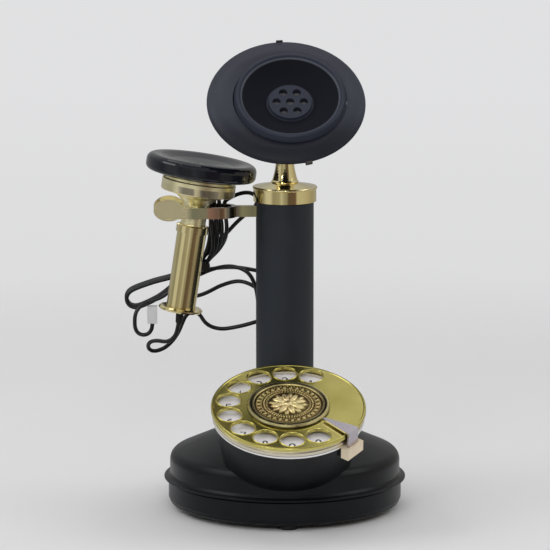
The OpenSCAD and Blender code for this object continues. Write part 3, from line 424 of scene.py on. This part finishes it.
# the receiver's cup: pale trumpet and lip, with a duller patchy band between them that is a painted
# reflection of the room
cup = {
    "low": 9.6, "high": 17.4, "pale": (0.98, 0.91, 0.60), "rough": (0.30, 0.38), "patch": 60,
    "reflectionStreaks": 110, "reflectionStreaksDetail": 1.0, "stretch": (1, 1, 0.15),
    "patches": [(0.40, (0.34, 0.31, 0.24)), (0.47, (0.50, 0.46, 0.36)), (0.52, (0.86, 0.78, 0.50)),
                (0.62, (0.92, 0.84, 0.56))],
    "band": [(0.04, (0, 0, 0)), (0.10, (1, 1, 1)), (0.58, (1, 1, 1)), (0.66, (0, 0, 0))],
}


def bandedCup(c, r):
    material, tree, shader, place = startMaterial("bandedCup")
    lean = math.radians(r["lean"])
    share = alongAxis(tree, place, r["neck"], (math.sin(lean), 0, math.cos(lean)), c["low"], c["high"])
    noise = tree.nodes.new("ShaderNodeTexNoise")
    noise.inputs["Scale"].default_value = c["reflectionStreaks"]
    noise.inputs["Detail"].default_value = c["reflectionStreaksDetail"]
    drawnOut = vectorStep(tree, "MULTIPLY", place.outputs["Object"], c["stretch"])
    tree.links.new(drawnOut, noise.inputs["Vector"])
    # painted reflection: dull streaked patches in a band round the cup
    patches = rampBetween(tree, noise.outputs["Fac"], c["patches"])
    colour = mixed(tree, rampBetween(tree, share, c["band"]), c["pale"], patches)
    dress(tree, shader, place, colour, c["rough"], c["patch"], metal=1.0)
    return material


# old bronze: dark in the hollows, rubbed bright on what stands up, with a few coppery patches
bronze = {
    "brassy": [(0.10, (0.014, 0.012, 0.006)), (0.45, (0.30, 0.24, 0.08)), (0.8, (0.88, 0.77, 0.38))],
    "coppery": [(0.10, (0.020, 0.014, 0.007)), (0.45, (0.36, 0.22, 0.09)), (0.8, (0.92, 0.70, 0.40))],
    "copperPatch": 90, "mostCopper": 0.7, "rough": (0.24, 0.4), "patch": 400,
    "reach": 40, "edge": [(0.535, (0, 0, 0)), (0.55, (0.85, 0.85, 0.85))], "edgeColour": (0.07, 0.06, 0.028),
}


def antiqueRelief(b, d):
    material, tree, shader, place = startMaterial("antiqueRelief")
    height = tree.nodes.new("ShaderNodeAttribute")
    height.attribute_name = "relief"
    brassy = rampBetween(tree, height.outputs["Fac"], b["brassy"])
    coppery = rampBetween(tree, height.outputs["Fac"], b["coppery"])
    patches = rangeBetween(tree, noiseFrom(tree, place, b["copperPatch"]), 0, b["mostCopper"])
    colour = mixed(tree, patches, brassy, coppery)
    edge = rampBetween(tree, fromAxis(tree, place, d["centre"], d["tilt"], b["reach"]), b["edge"])
    edged = mixed(tree, edge, colour, b["edgeColour"])
    dress(tree, shader, place, edged, b["rough"], b["patch"], metal=1.0)
    return material


mouthPaintedShade = paintedShadeMouth(mouth)
cupPaintedShade = paintedShadeBowl(bowl, cupPlace)
plugClear = clearPlug(plug)
hookPaintedReflections = barPaintedReflections(bar)
trimBands = bandedTrim(trim, dialPlace)
ringBrass = ringedBrass(hubRing, dialPlace)
cupPaintedReflection = bandedCup(cup, receiverPlace)
bronzeAntique = antiqueRelief(bronze, dialPlace)
print("finishes mixed")


def paint(material, *names):
    for name in names:
        obj = nodes[name]
        if not obj.material_slots:
            obj.data.materials.append(material)
        for slot in obj.material_slots:
            slot.material = material


paint(blackShell, "base_shell", "base_tray")
paint(rubberBlack, "rubber_feet", "cord_glands", "receiver_gland", "cord_tie")
paint(blackColumn, "column_tube")
paint(mouthPaintedShade, "mouth_brim", "transmitter_back")
paint(cupPaintedShade, "mouth_cup")
paint(blackGloss, "ear_cap")
paint(brassPolished, "column_cap", "stem", "receiver_barrel", "tail_flange", "tilt_pin")
paint(cupPaintedReflection, "receiver_cup")
paint(hookPaintedReflections, "hook_lever")
paint(brassWheel, "finger_wheel")
paint(ringBrass, "hub_ring", "hub_medallion")
paint(brassInside, "dial_gear", "switch_contacts")
paint(steelStill, "base_screws", "hook_pin", "switch_frame", "dial_spindle", "dial_frame", "governor",
      "return_spring")
paint(trimBands, "trim_ring")
paint(bezelPale, "bezel_ring")
paint(stopSilver, "finger_stop")
paint(plateEnamel, "number_plate")
paint(blockCream, "stop_block", "switch_plunger")
paint(boardGreen, "circuit_board")
paint(insideGrey, "ballast_plate", "ringer", "earpiece", "microphone")
paint(clipBrown, "rim_clips")
paint(plugClear, "modular_plug")


# cords
cordSize = {"diameter": 2.6 * mm, "sides": 12, "spacing": 1.4 * mm}

lineRoute = {
    "gland": (-8, 82.7, 23.4),
    "free": [(-8, 88, 23.4), (-8, 92.3, 25.5), (-8.2, 93.4, 29.5), (-8.6, 91.4, 33.2), (-11, 77, 47),
             (-13, 61, 65), (-14, 48, 85), (-15, 38, 105), (-16, 32, 122), (-18, 30, 134), (-22, 30, 142),
             (-27, 30.7, 145.3), (-30, 31, 146)],
    "leadIn": [(-33, 31.3, 146.7), (-40, 32.5, 146), (-48, 33.5, 143.5), (-55, 33.7, 140.5)],
    "spine": [(-42.6, 9.9, 187.3), (-41.9, 11.6, 176), (-44.5, 19.5, 161.5), (-52, 25.4, 150),
              (-66, 26, 140.5), (-82, 26, 132.5), (-95, 25.6, 127)],
    "hump": [(-37, 19.5, 169.5), (-30.5, 16.5, 177), (-24, 15.8, 183), (-18.8, 15.6, 187.2),
             (-16.8, 15.5, 191), (-18, 15.3, 194.6), (-21.6, 15, 196.6), (-26.6, 14, 196.6), (-32, 12, 195)],
    "leadOut": [(-86, 20.8, 126.2), (-91.2, 19.6, 123.6), (-94.6, 18.4, 119.4), (-95.4, 17.67, 115.9)],
    "loops": 5, "pitch": 3.1, "runSteps": 7, "bendSteps": 6, "firstBend": 4,
    "halfWidth": 5.1, "waist": 3.4, "flare": 4.2,       # half the hank's width, how it narrows and spreads
    "waistAt": (0.10, 0.42), "flareAt": (0.6, 0.9),     # where, in shares of the hank's length
    "turnAt": (0.08, 0.5), "joinAt": 0.65, "humpAt": 0.3, "leaveAt": 0.9,
    "plugLead": [(-95.4, 17.6, 114.4), (-95.4, 17.4, 110), (-93.8, 17.4, 106), (-89.8, 17.4, 104.4),
                 (-85.8, 17.4, 106), (-84.2, 17.4, 110), (-84.2, 17.4, 112.4)],
    "bend": ((-10, 30, 140), (-34, 30, 140)),           # from the base's part to the hook's
}

receiverRoute = {
    "free": [(-70, 0.5, 106.5), (-75, 1.5, 103), (-81, 3.5, 103.5), (-86, 6, 102), (-87, 9, 98),
             (-84, 12, 95), (-77, 14, 96.5), (-71, 15.5, 101.5), (-67, 17, 107.5), (-64.6, 18, 113.2),
             (-62.2, 18.6, 117.6), (-58, 19.4, 119.2), (-53.8, 20.2, 117.3), (-51.4, 21, 113),
             (-47, 22, 109.2), (-40, 22.5, 107.4), (-30, 23, 108.6), (-20, 23.5, 111), (-9, 24, 115),
             (0, 24.5, 121), (4, 25, 129), (1, 26, 137), (-7, 27.5, 142), (-18, 31, 144), (-30, 37, 145),
             (-42, 41, 144), (-54, 43, 141.5), (-61.5, 43.4, 138.6), (-66, 43.2, 133.8),
             (-65.6, 42.6, 128.6), (-60.8, 41.6, 125.6), (-54, 40.4, 126.2), (-48, 38.8, 128.8),
             (-41, 36.8, 132.8), (-38, 36, 134)],
    "bend": ((-70, 30, 100), (-70, 0.5, 100)),          # from the hook's part to the receiver's
}

leadRoute = {
    "free": [(-38, 36, 134), (-35, 35.2, 135.2), (-28, 34, 136.5), (-20, 33, 134), (-12, 33, 127),
             (-6, 35, 116), (-2, 40, 100), (2, 50, 80), (5, 64, 60), (7, 79, 45.4), (8, 91.4, 33.2),
             (8, 93.4, 29.5), (8, 92.3, 25.5), (8, 88, 23.4), (8, 82.7, 23.4)],
    "bend": ((-6, 35, 130), (-34, 35, 130)),
}


def inMetres(points):
    return [Vector(p) * mm for p in points]


def ease(low, high, t):
    f = min(max((t - low) / (high - low), 0), 1)
    return f * f * (3 - 2 * f)


def hankPath(route):
    spine = [Vector(p) for p in route["spine"]]

    def at(t):
        q = min(max(t, 0), 0.9999) * (len(spine) - 1)
        i, f = int(q), q - int(q)
        a, b, c, d = spine[max(i - 1, 0)], spine[i], spine[i + 1], spine[min(i + 2, len(spine) - 1)]
        return 0.5 * (2 * b + (c - a) * f + (2 * a - 5 * b + 4 * c - d) * f * f
                      + (3 * b - a - 3 * c + d) * f ** 3)

    def halfWidth(t):
        return (route["halfWidth"] - route["waist"] * ease(*route["waistAt"], t)
                + route["flare"] * ease(*route["flareAt"], t))

    def point(t, side, past, layer):
        way = (at(min(t + 0.01, 1)) - at(max(t - 0.01, 0))).normalized()
        out = Vector((-way.z, 0, way.x)).normalized()
        deep = way.cross(out)
        turn = math.radians(90 * (1 - ease(*route["turnAt"], t)))
        across = math.cos(turn) * out + math.sin(turn) * deep
        stack = math.cos(turn) * deep - math.sin(turn) * out
        half = halfWidth(t)
        return (at(t) + across * half * side + way * half * past
                + stack * route["pitch"] * (layer - route["loops"] / 2))

    runs, bends = route["runSteps"], route["bendSteps"]
    points = [Vector(p) for p in route["leadIn"]]
    for k in range(route["loops"]):
        for i in range(runs):
            t = i / (runs - 1)
            if (k > 0 or t > route["joinAt"]) and (k < route["loops"] - 1 or t < route["leaveAt"]):
                points.append(point(t, 1, 0, k))
        if k == route["loops"] - 1:
            break
        for i in range(1, bends):
            turn = math.pi * i / bends
            points.append(point(1, math.cos(turn), math.sin(turn), k))
        for i in range(runs):
            t = 1 - i / (runs - 1)
            if k > 0 or t > route["humpAt"]:
                points.append(point(t, -1, 0, k + 1 - t))
        if k == 0:  # the first loop stands out to the column
            points += [Vector(p) for p in route["hump"]]
        for i in range(1 if k > 0 else route["firstBend"], bends):
            turn = math.pi * i / bends
            points.append(point(0, -math.cos(turn), -math.sin(turn), k + 1))
    return points + [Vector(p) for p in route["leadOut"]]


def makeCord(name, points, replaced):
    path = throughPoints(points, cordSize["spacing"])
    verts, faces = tubeAlong(path, cordSize["diameter"] / 2, cordSize["sides"])
    cord = addPiece(name, verts, faces, cordBlack, None)
    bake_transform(cord)
    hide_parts(*replaced)


def makeCords():
    line = inMetres([lineRoute["gland"]] + lineRoute["free"])
    line += [p * mm for p in hankPath(lineRoute)] + inMetres(lineRoute["plugLead"])
    makeCord("lineCord", line, ["line_cord", "line_hank", "plug_lead"])
    lean = math.radians(receiverPlace["lean"])
    down = Vector((-math.sin(lean), 0, -math.cos(lean)))
    tip = Vector(receiverPlace["neck"]) + receiverPlace["tail"] * down
    handset = [tip * mm, (tip + receiverPlace["straightOut"] * down) * mm] + inMetres(receiverRoute["free"])
    makeCord("receiverCord", handset, ["receiver_cord"])
    makeCord("receiverLead", inMetres(leadRoute["free"]), ["receiver_lead"])


makeCords()
print("cords laid")


# the dial's figures and its medallion
dialMatrix = (Matrix.Translation(Vector(dialPlace["centre"]) * mm)
              @ Matrix.Rotation(math.radians(dialPlace["tilt"]), 4, "X") @ Matrix.Scale(mm, 4))


def onDial(u, v, w):
    return dialMatrix @ Vector((u, v, w))


numbers = {"plateTop": -5.0, "height": 6.0, "width": 3.5, "stroke": 0.95, "raise": 0.04, "lower": 0.6}


def arcPoints(cx, cy, rx, ry, start, end, steps):
    return [(cx + rx * math.cos(math.radians(start + (end - start) * i / steps)),
             cy + ry * math.sin(math.radians(start + (end - start) * i / steps))) for i in range(steps + 1)]


# strokes of each figure in a box from -0.5 to 0.5
figureStrokes = {
    1: [[(-0.28, 0.26), (0.06, 0.5), (0.06, -0.5)]],
    2: [arcPoints(0, 0.22, 0.44, 0.28, 160, -35, 14) + [(-0.46, -0.5), (0.48, -0.5)]],
    3: [arcPoints(0, 0.25, 0.40, 0.25, 150, -90, 12) + arcPoints(0, -0.25, 0.46, 0.25, 90, -150, 14)],
    4: [[(0.22, -0.5), (0.22, 0.5), (-0.5, -0.22), (0.5, -0.22)]],
    5: [[(0.42, 0.5), (-0.34, 0.5), (-0.42, 0.06)] + arcPoints(0, -0.18, 0.46, 0.32, 130, -150, 16)],
    6: [[(0.28, 0.5)] + arcPoints(0.06, -0.1, 0.52, 0.5, 130, 190, 6),
        arcPoints(0, -0.2, 0.46, 0.3, 0, 360, 24)],
    7: [[(-0.46, 0.5), (0.46, 0.5), (-0.08, -0.5)]],
    8: [arcPoints(0, 0.25, 0.36, 0.25, 0, 360, 20), arcPoints(0, -0.25, 0.46, 0.25, 0, 360, 22)],
    9: [arcPoints(0, 0.2, 0.46, 0.3, 0, 360, 24),
        [(-0.28, -0.5)] + arcPoints(-0.06, 0.1, 0.52, 0.5, -50, 10, 6)],
    0: [arcPoints(0, 0, 0.46, 0.5, 0, 360, 28)],
}


def ribbon(points, half, low, high, verts, faces):
    start = len(verts)
    closed = (Vector(points[0]) - Vector(points[-1])).length < 1e-6
    last = len(points) - 1
    for i, p in enumerate(points):
        before = Vector(points[i - 1] if i else (points[last - 1] if closed else p))
        after = Vector(points[i + 1] if i < last else (points[1] if closed else p))
        way = (after - before).normalized()
        side = Vector((-way.y, way.x)) * half
        p = Vector(p)
        for edge, w in ((p - side, low), (p + side, low), (p + side, high), (p - side, high)):
            verts.append(onDial(edge.x, edge.y, w))
    for i in range(last):
        a, b = start + 4 * i, start + 4 * (i + 1)
        for k in range(4):
            faces.append((a + k, a + (k + 1) % 4, b + (k + 1) % 4, b + k))
    if not closed:
        faces.append((start + 3, start + 2, start + 1, start))
        faces.append(tuple(start + 4 * last + k for k in range(4)))


def makeNumbers(n):
    verts, faces = [], []
    for i in range(dialPlace["holes"]):
        turn = math.radians(dialPlace["firstHole"] + i * dialPlace["step"])
        u = dialPlace["holeRing"] * math.cos(turn)
        v = dialPlace["holeRing"] * math.sin(turn) - n["lower"]
        for stroke in figureStrokes[(i + 1) % 10]:
            line = [(u + x * n["width"], v + y * n["height"]) for x, y in stroke]
            low, high = n["plateTop"] - n["raise"], n["plateTop"] + n["raise"]
            ribbon(line, n["stroke"] / 2, low, high, verts, faces)
    addPiece("dialNumbers", verts, faces, numberInk, "base", smooth=False)


# rings of ornament, from the edge inwards; half is the half width across the ring and along it
medallion = {
    "low": -0.38, "radius": 22.7, "rings": 132, "spokes": 540,
    "rim": {"width": 1.5, "ground": 1.9, "height": 0.55, "middle": 0.75, "half": 0.8},
    "groove": {"width": 2.1, "ground": 1.25},
    "lozenges": {"from": 15.9, "ground": 1.55, "count": 30, "ring": 18.3, "height": 0.75,
                 "half": (1.9, 1.15)},
    "innerDots": {"count": 30, "ring": 16.9, "height": 0.55, "half": (0.55, 0.55)},
    "outerDots": {"count": 30, "ring": 19.7, "height": 0.55, "half": (0.55, 0.55)},
    "beads": {"from": 14.5, "ground": 1.5, "count": 60, "ring": 15.2, "height": 0.85, "half": (0.62, 0.66)},
    "dentils": {"from": 12.9, "to": 14.2, "ground": 1.35, "top": 2.1, "count": 48, "half": 0.52},
    "disc": {"ground": 1.5, "swell": 0.5},
    "petals": {"count": 8, "turned": 15, "ring": 6.6, "height": 1.15, "half": (4.9, 1.25),
               "belly": 0.85, "bellyRing": 7.4, "bellyHalf": 4.6, "vein": 0.3, "veinHalf": 0.28},
    "leaves": {"count": 8, "ring": 9.5, "height": 0.75, "half": (2.9, 1.5)},
    "heart": {"radius": 2.7, "ground": 2.0, "height": 1.25},
    "hollowAt": 1.2, "crownOver": 1.6, "edgeRub": 0.2,  # what counts as hollow, and as rubbed bright
}


def bump(x, y):
    # a round dome of height 1 over the unit circle
    left = 1 - x * x - y * y
    return math.sqrt(left) if left > 0 else 0.0


def sweepTo(turn, count, offset=0.0):
    # how far a direction lies from the nearest of count spokes, in radians
    step = 2 * math.pi / count
    return (turn - offset + step / 2) % step - step / 2


def knob(r, turn, ring, offset=0.0):
    # height over the ground of a ring of round knobs
    along = sweepTo(turn, ring["count"], offset) * r
    return ring["height"] * bump((r - ring["ring"]) / ring["half"][0], along / ring["half"][1])


def petalHeight(r, turn, p, start):
    across = sweepTo(turn, p["count"], start) * r
    half = p["half"][1] + p["belly"] * bump((r - p["bellyRing"]) / p["bellyHalf"], 0)
    vein = p["vein"] * math.exp(-(across / p["veinHalf"]) ** 2)
    return bump((r - p["ring"]) / p["half"][0], across / half) * (p["height"] - vein)


def reliefHeight(r, turn, m):
    inwards = m["radius"] - r
    rim, lozenges, beads, dentils, disc, heart = (
        m[k] for k in ("rim", "lozenges", "beads", "dentils", "disc", "heart"))
    if inwards < rim["width"]:
        return rim["ground"] + rim["height"] * bump((rim["middle"] - inwards) / rim["half"], 0)
    if inwards < m["groove"]["width"]:
        return m["groove"]["ground"]
    if r > lozenges["from"]:
        step = math.pi / lozenges["count"]
        dots = knob(r, turn, m["innerDots"], step) + knob(r, turn, m["outerDots"], step)
        return lozenges["ground"] + knob(r, turn, lozenges) + dots
    if r > beads["from"]:
        return beads["ground"] + knob(r, turn, beads)
    if r > dentils["from"]:
        tooth = abs(sweepTo(turn, dentils["count"])) * r < dentils["half"]
        return dentils["top"] if tooth and r < dentils["to"] else dentils["ground"]
    start = math.radians(m["petals"]["turned"])
    leaf = knob(r, turn, m["leaves"], start + math.pi / m["leaves"]["count"])
    height = disc["ground"] + disc["swell"] * (1 - (r / dentils["from"]) ** 2)
    height += max(petalHeight(r, turn, m["petals"], start), leaf)
    if r < heart["radius"]:
        height = max(height, heart["ground"] + heart["height"] * bump(r / heart["radius"], 0))
    return height


def makeMedallion(m):
    verts, faces, heights = [onDial(0, 0, m["low"] + reliefHeight(0, 0, m))], [], [1.0]
    spokes = m["spokes"]
    for i in range(1, m["rings"] + 1):
        r = m["radius"] * i / m["rings"]
        for k in range(spokes):
            turn = 2 * math.pi * k / spokes
            h = reliefHeight(min(r, m["radius"] - 0.01), turn, m)
            verts.append(onDial(r * math.cos(turn), r * math.sin(turn), m["low"] + h))
            heights.append((h - m["hollowAt"]) / m["crownOver"])
    for k in range(spokes):
        turn = 2 * math.pi * k / spokes
        verts.append(onDial(m["radius"] * math.cos(turn), m["radius"] * math.sin(turn), m["low"]))
        heights.append(m["edgeRub"])
    for k in range(spokes):
        faces.append((0, 1 + k, 1 + (k + 1) % spokes))
    for i in range(m["rings"]):
        for k in range(spokes):
            a, b = 1 + i * spokes + k, 1 + i * spokes + (k + 1) % spokes
            faces.append((a, a + spokes, b + spokes, b))
    faces.append(tuple(len(verts) - 1 - k for k in range(spokes)))
    piece = addPiece("medallionRelief", verts, faces, bronzeAntique, "dial")
    attribute = piece.data.attributes.new("relief", "FLOAT", "POINT")
    attribute.data.foreach_set("value", heights)
    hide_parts("hub_medallion")


makeNumbers(numbers)
makeMedallion(medallion)
print("dial dressed")


# backdrop and light
sweep = {
    "front": -2.6, "halfWidth": 3.5, "turn": 2.4, "radius": 0.6, "top": 3.0, "floor": -3.5 * mm, "steps": 24,
    "tone": [(0.3, (0.79, 0.79, 0.80)), (0.7, (0.81, 0.81, 0.82))], "rough": 0.85, "shine": 0.15,
    "nearFloor": (0.20, 0.34), "paleFrom": (0.40, 1.0),         # metres from the column's axis
    "farthest": 4.0, "pale": [(0.15, (0.715, 0.715, 0.72)), (0.6, (0.75, 0.75, 0.76))],
}


def mixedShader(tree, factor, first, second):
    mix = tree.nodes.new("ShaderNodeMixShader")
    tree.links.new(factor, mix.inputs["Fac"])
    tree.links.new(first, mix.inputs[1])
    tree.links.new(second, mix.inputs[2])
    return mix.outputs[0]


def sweepFinish(s):
    material, tree, shader, place = startMaterial("sweepPale")
    tree.links.new(rampBetween(tree, noiseFrom(tree, place, 0.8), s["tone"]), shader.inputs["Base Color"])
    shader.inputs["Roughness"].default_value = s["rough"]
    shader.inputs["Specular IOR Level"].default_value = s["shine"]
    reach = vectorStep(tree, "LENGTH", place.outputs["Object"])
    path = tree.nodes.new("ShaderNodeLightPath")
    # mirrored in the brass, the far floor gives way to the dim room
    mirrored = numberStep(tree, "MULTIPLY", mapped(tree, reach, *s["nearFloor"]),
                          path.outputs["Is Glossy Ray"])
    clear = tree.nodes.new("ShaderNodeBsdfTransparent")
    floor = mixedShader(tree, mirrored, shader.outputs[0], clear.outputs[0])
    # seen directly, the floor and the wall beyond the object are an even pale grey
    seen = numberStep(tree, "MULTIPLY", mapped(tree, reach, *s["paleFrom"], soft=True),
                      path.outputs["Is Camera Ray"])
    pale = tree.nodes.new("ShaderNodeEmission")
    tree.links.new(rampBetween(tree, mapped(tree, reach, 0, s["farthest"]), s["pale"]), pale.inputs["Color"])
    both = mixedShader(tree, seen, floor, pale.outputs[0])
    tree.links.new(both, tree.nodes["Material Output"].inputs["Surface"])
    return material


def makeSweep(s):
    line = [(s["front"], s["floor"])]
    for i in range(s["steps"] + 1):
        turn = math.radians(90 * i / s["steps"])
        line.append((s["turn"] + s["radius"] * math.sin(turn),
                     s["floor"] + s["radius"] * (1 - math.cos(turn))))
    line.append((s["turn"] + s["radius"], s["top"]))
    verts = [(x, y, z) for y, z in line for x in (-s["halfWidth"], s["halfWidth"])]
    faces = [(2 * i, 2 * i + 1, 2 * i + 3, 2 * i + 2) for i in range(len(line) - 1)]
    addPiece("paleSweep", verts, faces, sweepFinish(s), None)


# the walls' tones round the horizon, in degrees from the camera's side: negative is left
room = {
    "strength": 0.62,
    "left": [(-180, (0.62, 0.62, 0.62)), (-110, (0.58, 0.58, 0.56)), (-88, (0.40, 0.40, 0.36)),
             (-74, (0.95, 0.95, 0.90)), (-56, (1.0, 1.0, 0.97)), (-46, (0.50, 0.48, 0.42)),
             (-22, (0.60, 0.58, 0.50)), (-14, (0.95, 0.95, 0.92))],
    "right": [(-6, (0.62, 0.60, 0.54)), (5, (0.50, 0.48, 0.42)), (11, (0.20, 0.15, 0.12)),
              (38, (0.24, 0.16, 0.13)), (44, (0.92, 0.88, 0.76)), (66, (0.88, 0.84, 0.72)),
              (88, (0.80, 0.74, 0.62)), (110, (0.62, 0.58, 0.50)), (180, (0.62, 0.62, 0.62))],
    "rightLow": [(-6, (0.45, 0.43, 0.38)), (5, (0.30, 0.27, 0.23)), (11, (0.20, 0.15, 0.12)),
                 (36, (0.26, 0.20, 0.16)), (46, (0.44, 0.40, 0.36)), (64, (0.40, 0.36, 0.32)),
                 (72, (0.07, 0.06, 0.05)), (94, (0.08, 0.07, 0.06)), (102, (0.70, 0.70, 0.66)),
                 (180, (0.62, 0.62, 0.62))],
    "lowWall": (-0.25, -0.19), "ceilingFrom": (0.30, 0.62),     # heights on the unit sphere
    "ceiling": [(0.60, (0.95, 0.95, 0.95)), (0.90, (0.80, 0.80, 0.82)), (0.985, (0.36, 0.37, 0.40))],
}


def makeWorld(r):
    # a plain studio seen only as soft light: pale walls, and a darker room round the camera
    world = bpy.data.worlds.new("studio")
    bpy.context.scene.world = world
    world.use_nodes = True
    tree = world.node_tree
    background = tree.nodes["Background"]
    place = tree.nodes.new("ShaderNodeTexCoord")
    x, y, z = (separated(tree, place.outputs["Generated"], axis) for axis in "XYZ")
    bearing = numberStep(tree, "ARCTAN2", x, numberStep(tree, "MULTIPLY", y, -1))
    share = mapped(tree, bearing, -math.pi, math.pi)
    high, low = (rampBetween(tree, share, [((a + 180) / 360, c) for a, c in r["left"] + right])
                 for right in (r["right"], r["rightLow"]))
    walls = mixed(tree, mapped(tree, z, *r["lowWall"]), low, high)
    ceiling = rampBetween(tree, z, r["ceiling"])
    colour = mixed(tree, mapped(tree, z, *r["ceilingFrom"]), walls, ceiling)
    tree.links.new(colour, background.inputs["Color"])
    background.inputs["Strength"].default_value = r["strength"]


lamps = {
    "softLeft": {"place": (-1.5, -0.3, 1.5), "towards": (0, 0, 0.05), "size": (1.0, 1.0), "watts": 8},
    "softRight": {"place": (1.6, -0.2, 1.3), "towards": (0, 0, 0.05), "size": (0.9, 1.0), "watts": 5},
    "softTop": {"place": (0.0, 0.3, 2.0), "towards": (0, 0.2, 0), "size": (1.6, 1.4), "watts": 8},
    "softFront": {"place": (-0.2, -2.7, 1.5), "towards": (0, 0, 0), "size": (1.6, 0.6), "watts": 7},
    "lampPairLeft": {"place": (-0.96, -1.9, 1.05), "towards": (-0.06, 0, 0.2), "size": (0.34, 0.22),
                     "watts": 3.6},
    "lampPairRight": {"place": (0.04, -2.1, 1.05), "towards": (-0.06, 0, 0.2), "size": (0.30, 0.22),
                      "watts": 3.2},
}


def areaLamp(name, lamp):
    data = bpy.data.lights.new(name, "AREA")
    data.shape = "RECTANGLE"
    data.size, data.size_y = lamp["size"]
    data.energy = lamp["watts"]
    obj = bpy.data.objects.new(name, data)
    obj.location = lamp["place"]
    away = Vector(lamp["towards"]) - Vector(lamp["place"])
    obj.rotation_euler = away.to_track_quat("-Z", "Y").to_euler()
    bpy.context.scene.collection.objects.link(obj)


makeSweep(sweep)
makeWorld(room)
for name, lamp in lamps.items():
    areaLamp(name, lamp)

bpy.context.scene.view_settings.view_transform = "Standard"
print("light set")
